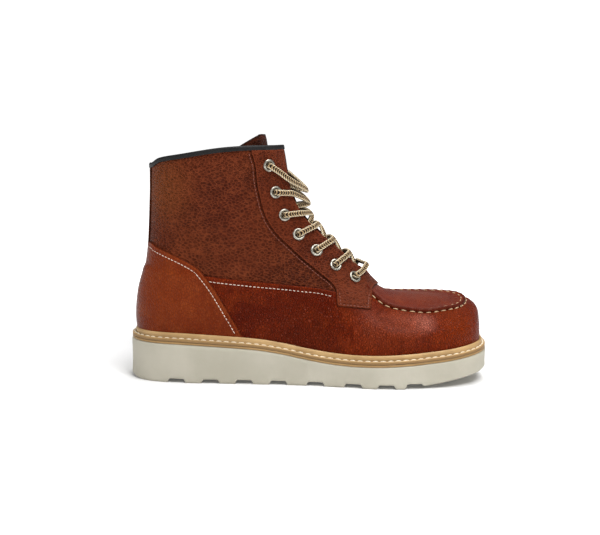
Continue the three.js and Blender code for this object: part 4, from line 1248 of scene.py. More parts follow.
def make_vamp():
    """The vamp runs from one counter round the toe to the other, up to the apron's seam."""
    s_tip = float(np.interp(0.0, APRON_A, APRON_S))
    rear, seam = {}, {}
    for side in (-1, 1):
        s, a = side_curve(VAMP_REAR, side, 0.6, 24)
        inside = np.abs(a) < np.abs(foot_angle(s, side))
        rear[side] = chart_line(s * side, np.abs(a))[inside]
        s, a = side_curve(VAMP_SEAM[1:], side, VAMP_STEP, 90)
        ahead = s < abs(rear[side][0, 0]) - 0.02
        seam[side] = chart_line(s * side, np.abs(a))[ahead]
    foot_out = np.linspace(-rear[-1][-1, 0], 0, 140)
    foot_in = np.linspace(0, rear[1][-1, 0], 140)
    inner_edge, outer_edge = APRON_A > 0, APRON_A < 0
    lines = joined([
        chart_line(-foot_out, np.abs(foot_angle(foot_out, -1))),
        chart_line(foot_in, np.abs(foot_angle(foot_in, 1))), rear[1][::-1], seam[1],
        chart_line(APRON_S[inner_edge], APRON_A[inner_edge])[::-1],
        chart_line(np.linspace(s_tip, 0, 30), np.zeros(30)),
        chart_line(-np.linspace(0, s_tip, 30), np.zeros(30)),
        chart_line(-APRON_S[outer_edge], -APRON_A[outer_edge])[::-1], seam[-1][::-1], rear[-1]])
    ring = apron_points()

    def outer(points, base, away):
        near, _ = nearest(base, ring)
        tuck = 0.9 * np.exp(-(near / 1.6) ** 2)
        return (VAMP_STEP - tuck - crease_depth(base) + 0.2 * wave(base, 13, 4.0)
                - np.where(near < 2.5, 0, rounded(away, 1.0, 0.65)))

    def inner(points, base, away):
        s = np.abs(points[:, 0])
        return -WALL + (WALL + 0.05) * soft_step(s, 3.6, 4.6)

    vamp = panel("vamp", TOE_CHART, lines, M_VAMP, outer, inner, spacing=2.2, fold=True)
    tip = Vector((last_point(0.0, 0.0) + OFFSET) * MM)

    def join_tip(work):
        near = [v for v in work.verts if (v.co - tip).length < TIP_RADIUS * MM]
        bmesh.ops.remove_doubles(work, verts=near, dist=TIP_JOIN * MM)
        bmesh.ops.dissolve_degenerate(work, edges=work.edges, dist=0.02 * MM)

    edit_mesh(vamp.data, join_tip)
    keep(vamp, "leather_russet")


def apron_points():
    return densify(last_point(APRON_S, APRON_A), 0.4)


# Distance from pucker to pucker, and the ridge's height by the distance from the apron's edge
APRON_PITCH = 7.2
RIDGE_PROFILE = [(0.0, 0.5), (0.35, 1.4), (0.9, 2.05), (1.6, 2.35), (2.3, 2.2), (3.0, 1.5), (3.7, 0.65),
                 (4.6, 0.1), (6.0, 0.0), (60.0, 0.0)]
# How far the apron sinks between its ridges: in front, and under the facing
APRON_DISH = 2.4
FACING_SINK = 1.2
APRON_DISH_FRONT, APRON_DISH_BACK = 78.0, -62.0


def make_apron():
    """Moc apron: a plug inside a raised, puckered ridge."""
    edge = chart_line(APRON_S, APRON_A)
    rear = np.linspace(edge[-1], edge[0], 20)
    ring = apron_points()
    arcs = arc_on(ring)
    shares, heights = zip(*RIDGE_PROFILE)

    def outer(points, base, away):
        near, which = nearest(base, ring)
        pull = np.cos(arcs[which] * TAU / APRON_PITCH)
        lift = np.interp(near, shares, heights) * (1 + 0.10 * pull)
        dent = 0.18 * pull * np.exp(-((near - 5.0) / 2.5) ** 2)
        clear = 1 - soft_step(-base[:, 0], -APRON_DISH_FRONT, APRON_DISH_BACK)
        dish = (APRON_DISH * clear + FACING_SINK * (1 - clear)) * soft_step(near, 2.6, 13.0)
        return VAMP_STEP - 0.35 + lift - dent - dish + 0.12 * wave(base, 11, 2.0)

    def inner(points, base, away):
        lift = np.interp(nearest(base, ring)[0], shares, heights)
        return outer(points, base, away) - np.maximum(2.0, lift + WALL - 0.4)

    apron = panel("apron_plug", CHART, [edge, rear], M_APRON, outer, inner, spacing=2.0,
                  edge_rows=(0.35, 0.8, 1.3, 1.9, 2.5, 3.1, 3.7, 4.4, 5.2))
    keep(apron, "leather_russet", "apron")


def make_counter():
    """The heel counter, from the seam on one side round the back to the other."""
    half = []
    for side in (1, -1):
        s, a = side_curve(COUNTER_SEAM, side, 1.5, 150)
        a = np.abs(a)
        foot = np.abs(foot_angle(np.minimum(s, HEEL_STATION), side))
        good = (a < foot) | (s > HEEL_STATION - 0.5)
        s, a = s[good], a[good]
        past = np.where(a > PI - 0.02)[0]
        start = past[-1] if len(past) else 0
        s, a = s[start:], a[start:]
        a[0] = PI
        half.append((s, a))
    (s_in, a_in), (s_out, a_out) = half
    s_in[0] = s_out[0] = 0.5 * (s_in[0] + s_out[0])
    lines = joined([chart_line(s_in, a_in)[::-1], chart_line(s_out, TAU - a_out),
                    foot_line(-1, float(s_out[-1])), foot_line(1, float(s_in[-1]))])

    def outer(points, base, away):
        step = below_vamp_seam(base) * VAMP_STEP
        swell = 0.25 * wave(base, 15, 3.0)
        foot = np.exp(-((base[:, 2] - seat(base[:, 0]) - WELT_THICKNESS - LIP_HEIGHT) / 3.0))
        return (GAP + LAYER + step + swell - 0.2 - 0.55 * np.clip(foot, 0, 1)
                - rounded(away, 1.1, 0.75))

    def inner(points, base, away):
        return 0.15 + below_vamp_seam(base) * (VAMP_STEP + 0.1) - 0.5

    counter = panel("heel_counter", CHART, lines, M_COUNTER, outer, inner, spacing=2.2)
    keep(counter, "leather_russet", "counter")


def make_facing():
    """The lacing facings and their tabs, joined in front of the throat."""
    drop = 3.0
    throat, rear, tab = {}, {}, {}
    path = densify(np.vstack([side_points(FACING_REAR)[-1:], side_points(FACING_TAB)]), 1.0)
    for side in (-1, 1):
        s, a = throat_edge(side, THROAT_START, drop)
        throat[side] = chart_line(s, TAU + a)
        s, a = side_curve(FACING_REAR, side, 0.9, 130)
        rear[side] = chart_line(s, TAU + a)[s < collar_point(np.abs(a), drop)]
        s, a = on_skin(path, side, 1.5)
        tab[side] = chart_line(s, TAU + a)
    top_in = np.linspace(throat[1][-1, 1], rear[1][0, 1], 30)
    top_out = np.linspace(rear[-1][0, 1], throat[-1][-1, 1], 30)
    ridge_s = float(bisect(3.0, 6.0, lambda v: last_point(v, 0.0)[0] > along(FACING_FRONT_SHARE)))
    first, middle, last = tab[1][-1], np.array([ridge_s, TAU]), tab[-1][-1]
    front = smooth_line([first, first * 0.6 + middle * 0.4, middle,
                         last * 0.6 + middle * 0.4, last], 40)
    lines = joined([throat[-1][::-1], throat[1], chart_line(collar_point(top_in, drop), top_in),
                    rear[1], tab[1], front, tab[-1][::-1], rear[-1][::-1],
                    chart_line(collar_point(TAU * 2 - top_out, drop), top_out)])
    holes = [eyelet_hole(row, side) + [0, TAU if side > 0 else 0]
             for row in range(ROWS_OF_EYELETS) for side in (-1, 1)]
    eyes = np.array([last_point(*eyelet_place(row, side))
                     for row in range(ROWS_OF_EYELETS) for side in (-1, 1)])
    ring = apron_points()

    def front_sink(points, base):
        return (FACING_SINK * np.clip((base[:, 0] - 40) / 14, 0, 1)
                * (1 - soft_step(np.abs(points[:, 1] - TAU), 0.35, 0.75)))

    def outer(points, base, away):
        step = below_vamp_seam(base, 3.0) * VAMP_STEP
        near = np.linalg.norm(base[:, None] - eyes[None], axis=2).min(1)
        pinch = 0.35 * np.exp(-((near - 5.5) / 2.2) ** 2)
        ridge, _ = nearest(base, ring)
        over = 0.9 * np.exp(-((ridge - 1.5) / 2.2) ** 2) * np.clip((base[:, 0] - 45) / 8, 0, 1)
        crossing = np.clip((base[:, 0] - 38) / 14, 0, 1) * (np.abs(points[:, 1] - TAU) < 1.2)
        step = np.maximum(step, crossing * VAMP_STEP)
        return (GAP + LAYER + step + over - pinch + 0.2 * wave(base, 10, 5.0) - 0.15
                - front_sink(points, base) - rounded(away, 1.0, 0.7))

    def inner(points, base, away):
        step = below_vamp_seam(base, 3.0) * VAMP_STEP
        return 0.1 + step - front_sink(points, base)

    facing = panel("lace_facing", CHART, lines, M_FACING, outer, inner, spacing=2.0, holes=holes)
    keep(facing, "leather_pebbled", "facing")


def make_backstay():
    """A strip over the back seam, from the counter up to the binding."""
    half = BACKSTAY_WIDTH / 2
    seam = side_points(COUNTER_SEAM)
    low = float(bisect(11.0, 16.0, lambda v: last_point(v, PI)[2] < np.interp(
        last_point(v, PI)[0], seam[:, 0], seam[:, 1]) - 1.0))
    high = float(collar_point(np.array([PI]), 3.2)[0])
    s = np.linspace(low, high, 40)
    a = bisect(np.full_like(s, PI / 2), np.full_like(s, PI),
               lambda v: last_point(s, v)[:, 1] > half)
    lines = [chart_line(s, a), np.array([[s[-1], a[-1]], [s[-1], PI], [s[-1], TAU - a[-1]]]),
             chart_line(s, TAU - a)[::-1], np.array([[s[0], TAU - a[0]], [s[0], PI], [s[0], a[0]]])]

    def outer(points, base, away):
        return 1.25 - rounded(away, 1.0, 0.7) + 0.1 * wave(base, 9, 7.0)

    strip = panel("back_strip", CHART, lines, M_QUARTER, outer, lambda p, b, d: -0.1)
    keep(strip, "leather_pebbled", "backstay")


# ---- Tubes and swept profiles

def sweep(name, centre, sides, ups, profile, material, attributes=None, sharp=40.0):
    """A closed profile swept along a line. profile(i) gives points across and up."""
    rows = []
    for i in range(len(centre)):
        shape = np.asarray(profile(i), float)
        rows.append(centre[i] + shape[:, :1] * sides[i] + shape[:, 1:] * ups[i])
    n, count = len(rows), len(rows[0])
    faces = grid_faces(n, count, True)
    faces.append(tuple(range(count))[::-1])
    faces.append(tuple(range((n - 1) * count, n * count)))
    return new_solid(name, np.vstack(rows), faces, material, sharp, attributes)


def make_binding():
    """Folded black tape over the collar's edge, from throat to throat."""
    a_in, a_out = (throat_edge(side, 15.0, 0.0, 30)[1] for side in (1, -1))
    a = np.linspace(a_in[-1] - 0.02, TAU + a_out[-1] + 0.02, 190)
    s = collar_point(a, 0.0)
    base = last_point(s, a)
    normal = last_normal(s, a)
    run = unit(np.gradient(base, axis=0))
    normal = unit(normal - (normal * run).sum(1)[:, None] * run)
    up = unit(np.cross(run, normal))
    up = up * np.sign(up[:, 2:3])
    outer, inner, low, top = 1.35, -3.0, -3.7, 0.35
    shape = [(0.15, low), (outer - 0.25, low), (outer, low + 0.4), (outer, -1.0), (outer - 0.25, -0.1),
             (outer - 0.9, top), (-0.8, top + 0.1), (inner + 0.9, top), (inner + 0.2, -0.2),
             (inner, -1.0), (inner, low + 0.4), (inner + 0.25, low), (-1.9, low)]
    rng = random.Random(4)
    wobble = np.convolve([rng.uniform(-0.12, 0.12) for _ in range(230)], np.ones(7) / 7, "same")
    # a small lump in the tape over the back seam
    nub = np.exp(-((base[:, 1] / 3.2) ** 2)) * (base[:, 0] < -80)

    def profile(i):
        return [(x + (nub[i] if x > 0 else 0), y + (wobble[i] if y < low + 1 else 0.5 * nub[i]))
                for x, y in shape]

    tape = sweep("binding_tape", base, normal, up, profile, M_BINDING)
    keep(tape, "binding_black", "collar_binding")


def make_tongue():
    """Padded-looking single sheet that stands behind the lace, cut slanting at its top."""
    columns, rows = 33, 90
    f = np.linspace(-0.5, 0.5, columns)
    line = smooth_line(side_points(TONGUE_TOP), 80)

    def at(s, share, inward):
        width = TONGUE_WIDTH + TONGUE_FLARE * (s - TONGUE_START) / (LAST_ROW - TONGUE_START)
        a = angle_at(s, np.abs(share) * width, np.where(share < 0, -1.0, 1.0))
        sink = soft_step(s, TONGUE_START + 0.3, TONGUE_START + 1.4)
        depth = (WALL + 2 * GAP) * (1 - sink) + (WALL + LACE_THICKNESS + 5 * GAP) * sink + inward
        p = skin(s, a, -depth)
        p[..., 0] -= TONGUE_SET_BACK * soft_step(s, TONGUE_START + 3, LAST_ROW - 1)
        p[..., 1] += 0.5 * np.sin(s * 2.1 + share * 5) * np.clip(s - 12, 0, 3) / 3
        return p

    def under_top(s):
        p = at(s, f, 0.0)
        return p[:, 2] < np.interp(p[:, 0], line[:, 0], line[:, 1])

    tops = bisect(np.full(columns, 13.0), np.full(columns, float(LAST_ROW)), under_top)
    t = np.linspace(0, 1, rows)[:, None]
    s = TONGUE_START + (tops[None] - TONGUE_START) * t
    share = np.broadcast_to(f, s.shape)
    near = np.minimum(np.arange(columns), columns - 1 - np.arange(columns)) / 2.0
    thin = 0.9 * (1 - np.sqrt(1 - (1 - np.minimum(near, 1)) ** 2))
    end = 0.7 * (1 - np.minimum((1 - t) * (rows - 1) / 2.0, 1)) ** 2
    front = at(s, share, thin + end).reshape(-1, 3)
    back = at(s, share, TONGUE_THICKNESS - 0.4 * (thin + end)).reshape(-1, 3)
    n = rows * columns
    faces = grid_faces(rows, columns) + grid_faces(rows, columns, start=n, flip=True)
    rim = list(range(columns)) + [(i + 1) * columns - 1 for i in range(1, rows)]
    rim += [(rows - 1) * columns + k for k in range(columns - 2, -1, -1)]
    rim += [i * columns for i in range(rows - 2, 0, -1)]
    for i, a in enumerate(rim):
        b = rim[(i + 1) % len(rim)]
        faces.append((b, a, a + n, b + n))
    edge = [min(k * 1.8, (columns - 1 - k) * 1.8, (rows - 1 - i) * 1.5)
            for i in range(rows) for k in range(columns)]
    tongue = new_solid("tongue_leather", np.vstack([front, back]), faces, M_TONGUE,
                       attributes={"edge": np.array(edge + edge)})
    keep(tongue, "leather_pebbled", "tongue")


# ---- Sole

FEATHER = foot_loop(VAMP_STEP, WELT_THICKNESS + LIP_HEIGHT)
SOLE_LOOP = smooth_closed(grow(FEATHER, WELT_REACH), 6)


def make_welt():
    """Storm welt: a ledge with a stitched groove, and a lip that stands against the upper."""
    top = WELT_THICKNESS + LIP_HEIGHT
    loops = {}

    def loop_at(height, out):
        key = round(height, 3)
        if key not in loops:
            loops[key] = smooth_closed(foot_loop(VAMP_STEP, height), 3)
        return grow(loops[key], out)

    lip = LIP_THICKNESS
    ledge = WELT_THICKNESS
    # each corner by its distance out and height, and how dark it is: from the sole's line, then
    # from the foot's. Darkest are the lower edge, and painted shade in the stitch groove, at the
    # lip's foot and on the lip's inner side against the upper
    sole_shape = [(-0.05, 0.0, 1.0), (0.0, 0.35, 1.0), (0.0, ledge - 0.7, 0.6),
                  (-0.3, ledge - 0.2, 0.3), (-0.8, ledge, 0.1), (-1.5, ledge - 0.05, 0.4),
                  (-1.9, ledge - 0.35, 0.9), (-2.3, ledge - 0.1, 0.6)]
    foot_shape = [(lip + 0.15, ledge - 0.1, 0.6), (lip, ledge + 0.5, 0.35),
                  (lip - 0.05, ledge + 1.6, 0.2), (lip - 0.2, top - 1.2, 0.1),
                  (lip - 0.7, top - 0.35, 0.0), (lip - 1.3, top - 0.05, 0.0), (0.45, top - 0.15, 0.1),
                  (-0.6, top - 0.9, 0.4), (-1.2, ledge, 1.0), (-1.4, 0.0, 1.0)]
    plans = [grow(SOLE_LOOP, out) for out, _, _ in sole_shape]
    plans += [loop_at(max(height, 0.5), out) for out, height, _ in foot_shape]
    shape = sole_shape + foot_shape
    ring = np.stack([np.column_stack([plan, seat(plan[:, 0]) + height])
                     for plan, (_, height, _) in zip(plans, shape)], 1)
    n, m = ring.shape[:2]
    welt = new_solid("storm_welt", ring.reshape(-1, 3), ring_faces(n, m), M_WELT, 50.0,
                     {"low": np.tile([dark for _, _, dark in shape], n)})
    keep(welt, "welt_tan", "welt")


PLATE_SHARP = 35.0


def plate(name, loop, low, high, material, spacing, side_rows, inset_rows, lines_x=(),
          attributes=None):
    """A solid between two heights over a plan outline.

    low and high take x, y and the distance to the outline. side_rows are pairs of share up the
    side and distance out. Rows of points follow the outline at inset_rows, and lie at each of
    lines_x.
    """
    points = []
    for a, b in zip(loop, np.roll(loop, -1, 0)):
        points.append(a)
        cuts = [(x - a[0]) / (b[0] - a[0]) for x in lines_x if b[0] != a[0]]
        points.extend(a + (b - a) * t for t in sorted(cuts) if 0.02 < t < 0.98)
    loop = np.array(points)
    n = len(loop)
    fine = densify(np.vstack([loop, loop[:1]]), 0.5)
    flat3 = np.column_stack([fine, np.zeros(len(fine))])
    inside = [grow(loop, -distance) for distance in inset_rows]
    x0, y0 = loop.min(0)
    x1, y1 = loop.max(0)
    xs = list(np.arange(x0, x1, spacing)) + list(lines_x)
    for i, x in enumerate(xs):
        ys = np.arange(y0 + (spacing / 2 if i % 2 else 0), y1, spacing)
        inside.append(np.column_stack([np.full(len(ys), x), ys]))
    inside = np.vstack(inside)
    inside = inside[in_polygon(inside, loop)]
    away, _ = nearest(np.column_stack([inside, np.zeros(len(inside))]), flat3)
    grid = away > inset_rows[-1] + 0.4 * spacing
    rim = (np.abs(away[:, None] - np.array(inset_rows)) < 0.12).any(1)
    on_line = np.isin(np.round(inside[:, 0], 5), np.round(lines_x, 5)) if len(lines_x) else False
    inside = inside[grid | rim | (on_line & (away > 0.15))]
    points = np.vstack([loop, inside])
    flat, tris = triangles(points, [(i, (i + 1) % n) for i in range(n)])
    tris = tris[in_polygon(flat[tris].mean(1), loop)]
    area = np.cross(flat[tris[:, 1]] - flat[tris[:, 0]], flat[tris[:, 2]] - flat[tris[:, 0]])
    tris[area < 0] = tris[area < 0][:, ::-1]
    away, _ = nearest(np.column_stack([flat, np.zeros(len(flat))]), flat3)
    away[:n] = 0
    count = len(flat)
    verts = [np.column_stack([flat, high(flat[:, 0], flat[:, 1], away)]),
             np.column_stack([flat, low(flat[:, 0], flat[:, 1], away)])]
    faces = [tuple(t) for t in tris] + [tuple(t[::-1] + count) for t in tris]
    top_z, low_z = verts[0][:n, 2], verts[1][:n, 2]
    ring_start = []
    total = 2 * count
    for share, out_by in side_rows:
        ring = grow(loop, out_by)
        verts.append(np.column_stack([ring, low_z + (top_z - low_z) * share]))
        ring_start.append(total)
        total += n
    chain = [0, *ring_start, count]
    for a, b in zip(chain[:-1], chain[1:]):
        for i in range(n):
            k = (i + 1) % n
            faces.append((a + i, b + i, b + k, a + k))
    verts = np.vstack(verts)
    fields = {key: np.full(len(verts), value) for key, value in (attributes or {}).items()}
    return new_solid(name, verts, faces, material, PLATE_SHARP, fields)


def make_midsole():
    loop = grow(SOLE_LOOP, -0.25)

    def high(x, y, away):
        return sole_top(x) + MIDSOLE_THICKNESS - rounded(away, 0.6, 0.25)

    def low(x, y, away):
        return sole_top(x) + GAP * 0.3 + rounded(away, 0.6, 0.2)

    piece = plate("midsole_sheet", loop, low, high, M_MIDSOLE, 5.0, [(0.75, 0.25), (0.25, 0.25)],
                  (0.6,), attributes={"low": 0.3})
    keep(piece, "welt_tan", "midsole")


def tread_line():
    line = np.array([[along(share), lift * TOE_SPRING] for share, lift in TREAD])
    points = [tuple(p) for p in line]
    for share in GROOVES:
        x = float(along(share))
        a, b = x - GROOVE_WIDTH / 2, x + GROOVE_WIDTH / 2
        points = [p for p in points if not (a < p[0] < b)]
        roof = np.interp(x, line[:, 0], line[:, 1]) + GROOVE_DEPTH
        points += [(a, np.interp(a, line[:, 0], line[:, 1])), (a + GROOVE_SLANT, roof),
                   (b - GROOVE_SLANT, roof), (b, np.interp(b, line[:, 0], line[:, 1]))]
    return np.array(sorted(points))


RIB_PITCH = 5.2
RIB_HEIGHT = 0.9


def make_outsole():
    line = tread_line()
    half = GROOVE_WIDTH / 2
    cuts = [float(along(share)) + corner for share in GROOVES
            for corner in (-half, GROOVE_SLANT - half, half - GROOVE_SLANT, half)]

    def high(x, y, away):
        return sole_top(x) - rounded(away, 0.9, 0.5)

    def low(x, y, away):
        z = np.interp(x, line[:, 0], line[:, 1])
        # fine tread: short wavy ribs across each lug, clear of the sole's edge
        ribs = np.clip(np.sin((x + 1.6 * np.sin(y / 5.0)) * TAU / RIB_PITCH), 0, 1) ** 0.7
        inside = np.clip((away - 5.0) / 1.5, 0, 1)
        return z + RIB_HEIGHT * ribs * inside + rounded(away, 1.1, 0.7)

    side_rows = [(0.985, 0.22), (0.9, 0.3), (0.6, 0.05), (0.35, 0.0), (0.12, 0.2), (0.04, 0.3),
                 (0.01, 0.2)]
    piece = plate("wedge_sole", grow(SOLE_LOOP, 0.15), low, high, M_FOAM, 1.7, side_rows,
                  (0.35, 0.8, 1.5), cuts)
    keep(piece, "outsole_rubber", "outsole")


def make_insole():
    bottom = MIDSOLE_THICKNESS + GAP
    loop = smooth_closed(foot_loop(-WALL - GAP, INSOLE_THICKNESS / 2), 3)
    loop = grow(loop, -0.4)

    def high(x, y, away):
        dish = 0.9 * np.clip(away / 18, 0, 1)
        return sole_top(x) + bottom + INSOLE_THICKNESS - dish - rounded(away, 1.2, 0.9) + 0.35

    def low(x, y, away):
        return sole_top(x) + bottom - 0.1 + 0 * y

    piece = plate("insole_pad", loop, low, high, M_INSOLE, 4.0, [(0.5, 0.05)], (0.5, 1.2))
    keep(piece, "lining_black", "insole")


# ---- Stitches

# Height of a stitch to its width
STITCH_FLAT = 0.7


def stitches(name, line, normals, pitch_mm, length, radius, lift, material, slot, seed, dip=0.9):
    """One mesh of separate stitches that dive into the leather at their ends."""
    rng = random.Random(seed)
    run = arc_on(line)
    count = int(run[-1] / pitch_mm)
    verts, faces = [], []
    ring, rows = 8, 7
    for i in range(count):
        middle = (i + 0.5) * pitch_mm + rng.uniform(-0.04, 0.04) * pitch_mm
        size = length * rng.uniform(0.93, 1.05)
        turn = rng.uniform(-0.03, 0.03)
        start = len(verts)
        for r in range(rows):
            t = r / (rows - 1)
            at = middle + (t - 0.5) * size
            n = unit(at_arcs(at, run, normals))
            ahead = unit(at_arcs(at + 0.4, run, line) - at_arcs(at - 0.4, run, line))
            across = unit(np.cross(n, ahead))
            p = at_arcs(at, run, line) + across * (t - 0.5) * size * math.tan(turn)
            bow = math.sin(PI * t)
            sink = (1 - bow ** 0.5) * radius * dip
            width = radius * (0.45 + 0.55 * bow ** 0.5)
            for k in range(ring):
                angle = TAU * k / ring
                verts.append(p + n * (lift - sink + math.sin(angle) * width * STITCH_FLAT)
                             + across * math.cos(angle) * width)
        faces += grid_faces(rows, ring, True, start)
        faces.append(tuple(range(start, start + ring))[::-1])
        faces.append(tuple(range(len(verts) - ring, len(verts))))
    keep(new_solid(name, np.array(verts), faces, material, 60.0), slot)


TAB_SEAM = [[0.584, 1.06], [0.588, 0.885], [0.665, 0.868], [0.670, 1.05]]


def make_seams():
    """Every row of stitches: welt, vamp, counter, facings and moc seam."""
    plan = grow(SOLE_LOOP, -1.9)
    plan = np.vstack([plan, plan[:1]])
    line = np.column_stack([plan, seat(plan[:, 0]) + WELT_THICKNESS - 0.05])
    stitches("welt_stitches", line, np.tile([0.0, 0.0, 1.0], (len(line), 1)), 6.4, 5.3, 0.7, 0.2,
             M_THREAD, "welt_tan", seed=3)
    for side, name in ((-1, "outer"), (1, "inner")):
        # vamp seam
        s, a = side_curve(VAMP_SEAM[1:], side, VAMP_STEP, 150, shift=-4.6)
        x = last_point(s, a)[:, 0]
        good = (x > along(0.212)) & (x < along(0.572))
        s, a = CHART.place(CHART.even(chart_line(s[good], a[good]), 0.8, False))
        stitches(f"vamp_stitches_{name}", skin(s, a, VAMP_STEP), last_normal(s, a), 3.4, 2.7, 0.3,
                 0.05, M_THREAD_WHITE, "leather_russet", seed=5 + side)
        # counter seam
        s, a = side_curve(COUNTER_SEAM, side, 1.5, 170, shift=-4.2)
        foot = np.abs(foot_angle(np.minimum(s, HEEL_STATION), side))
        at = last_point(s, a)
        good = (np.abs(a) < foot - 0.12) & (np.abs(a) < PI - 0.03)
        good &= at[:, 2] > seat(at[:, 0]) + 8.0
        s, a = s[good], a[good]
        line = skin(s, a, 1.35 + below_vamp_seam(at[good]) * VAMP_STEP)
        stitches(f"counter_stitches_{name}", line, last_normal(s, a), 3.2, 2.6, 0.3, 0.04,
                 M_THREAD_WHITE, "leather_russet", seed=9 + side)
        # facing seam and tab, in thread of the leather's own colour
        seam = chart_line(*side_curve(FACING_REAR, side, 0.9, 130))
        moved = CHART.inset(seam, -2.0 * side, closed=False)
        at = CHART.base(moved)
        good = at[:, 2] < np.interp(at[:, 0], *smooth_line(side_points(COLLAR_LINE), 60).T) - 5
        s, a = CHART.place(moved[good])
        line = skin(s, a, 1.3 + below_vamp_seam(at[good], 3.0) * VAMP_STEP)
        stitches(f"facing_stitches_{name}", line, last_normal(s, a), 3.0, 2.3, 0.3, 0.06,
                 M_THREAD_RED, "leather_pebbled", seed=13 + side)
        s, a = on_skin(densify(side_points(TAB_SEAM), 1.0), side, 2.6)
        stitches(f"tab_stitches_{name}", skin(s, a, 2.35), last_normal(s, a), 3.0, 2.3, 0.32, 0.06,
                 M_THREAD_RED, "leather_pebbled", seed=17 + side)
    # moc seam: thick stitches on both flanks of the ridge
    s, a = CHART.place(CHART.even(chart_line(APRON_S, APRON_A), 0.8, False))
    base, normals = last_point(s, a), last_normal(s, a)
    middle = last_point(2.0, 0.1)
    run = unit(np.gradient(base, axis=0))
    out = unit(np.cross(run, normals))
    out *= np.sign((out * (base - middle)).sum(1))[:, None]
    line = base + out * 0.7 + normals * (VAMP_STEP - 0.1)
    stitches("moc_stitches_low", line, unit(normals + 0.6 * out), APRON_PITCH, 4.6, 0.5, 0.15,
             M_THREAD_DULL, "leather_russet", seed=21, dip=1.1)
    line = base - out * 4.1 + normals * (VAMP_STEP - 0.1)
    stitches("moc_stitches_high", line, unit(normals - 0.9 * out), APRON_PITCH, 4.2, 0.45, 0.1,
             M_THREAD_DULL, "leather_russet", seed=22, dip=1.1)


# ---- Eyelets and lace

EYELET_PROFILE = [(3.1, -1.6), (3.45, -1.75), (3.5, 1.5), (4.7, 1.55), (5.2, 1.75), (5.25, 2.05),
                  (4.95, 2.4), (4.4, 2.6), (3.8, 2.55), (3.35, 2.25), (3.12, 1.7), (3.05, 0.5)]
FACING_TOP = GAP + LAYER


def make_eyelets():
    """Rolled rings, each a profile of radius and height turned round the skin's normal."""
    for row in range(ROWS_OF_EYELETS):
        for side, word in ((-1, "outer"), (1, "inner")):
            s, a = eyelet_place(row, side)
            centre = last_point(s, a)
            normal = last_normal(s, a)
            first = unit(np.cross(normal, [0.3, 0.1, 1.0]))
            second = np.cross(normal, first)
            verts = []
            steps = 40
            for k in range(steps):
                turn = TAU * k / steps
                radial = first * math.cos(turn) + second * math.sin(turn)
                for r, h in EYELET_PROFILE:
                    verts.append(centre + radial * r + normal * (h + 0.02))
            eyelet = new_solid(f"eyelet_ring_{word}_{row + 1}", np.array(verts),
                               ring_faces(steps, len(EYELET_PROFILE)), M_METAL, 50.0)
            keep(eyelet, "eyelet_metal", f"eyelet_{word}_{row + 1}")


# Where the strands cross in the side view, and the lace's height over and under the leather
CROSSINGS = [[0.490, 2.42], [0.496, 2.26], [0.504, 2.11], [0.528, 1.97], [0.571, 1.77],
             [0.619, 1.58]]
OVER = FACING_TOP + 1.55 + LACE_THICKNESS / 2
UNDER = -(WALL + 2 * GAP + LACE_THICKNESS / 2)
# How near to its own row each strand crosses the facing's edge
LACE_EDGE_SHARES = {-1: (0.18, 0.60, 0.62, 0.72, 0.72, 0.72),
                    1: (0.36, 0.70, 0.70, 0.72, 0.72, 0.72)}
BAR_PLACES = ((45.7, -15.4, 95.4), (49.6, -7.8, 100.2), (47.2, 0.0, 100.6), (43.0, 7.0, 101.5))


def lace_side(side, row):
    """Places of one strand: out of an eyelet, over the throat and under the other facing."""
    s0, a0 = eyelet_place(row, side)
    s1, a1 = eyelet_place(row + 1, -side)
    p0, n0 = last_point(s0, a0), last_normal(s0, a0)
    p1, n1 = last_point(s1, a1), last_normal(s1, a1)
    lean_back = LACE_EDGE_SHARES[side][row]
    s_edge = s0 * lean_back + s1 * (1 - lean_back)
    edge_angle = float(angle_at(np.array(s_edge), throat_half(s_edge) + 1.0, side))
    pe, ne = last_point(s_edge, edge_angle), last_normal(s_edge, edge_angle)
    apex = side_points([CROSSINGS[row]])[0]
    lean = 1.5 * side
    top = np.array([apex[0], last_point(s_edge, 0.0)[1] + lean, apex[1]])
    under_angle = float(angle_at(np.array(s1), throat_half(s1) - 1.5, -side))
    pu, nu = last_point(s1, under_angle), last_normal(s1, under_angle)
    under2 = last_point(s1, (a1 + under_angle) / 2)
    nmid = last_normal(s1, (a1 + under_angle) / 2)
    nt = unit(n0 + n1 + np.array([0.6, 0, 0.5]))
    toward0 = unit(pe - p0)
    toward1 = unit(pu - p1)
    return [
        (p0 + n0 * -3.0 - toward0 * 0.4, toward0 * -1 + n0 * 0.1),
        (p0 + n0 * 0.6 - toward0 * 0.2, n0 * 0.5 - toward0),
        (p0 + n0 * (OVER - 0.4) + toward0 * 1.9, n0 - toward0 * 0.4),
        (p0 * 0.5 + pe * 0.5 + (n0 + ne) / 2 * (OVER + 0.2), n0 + ne),
        (pe + ne * (OVER - 0.1), ne),
        (top, nt),
        (pu + nu * (UNDER * 0.55), nu),
        (under2 + nmid * (UNDER - 0.1), nmid),
        (p1 + n1 * (UNDER - 0.3) + toward1 * 2.2, n1 + toward1 * 0.5),
        (p1 + n1 * (UNDER + 1.4) + toward1 * 0.6, toward1 + n1 * 0.2),
        (p1 + n1 * -0.6, toward1),
    ]


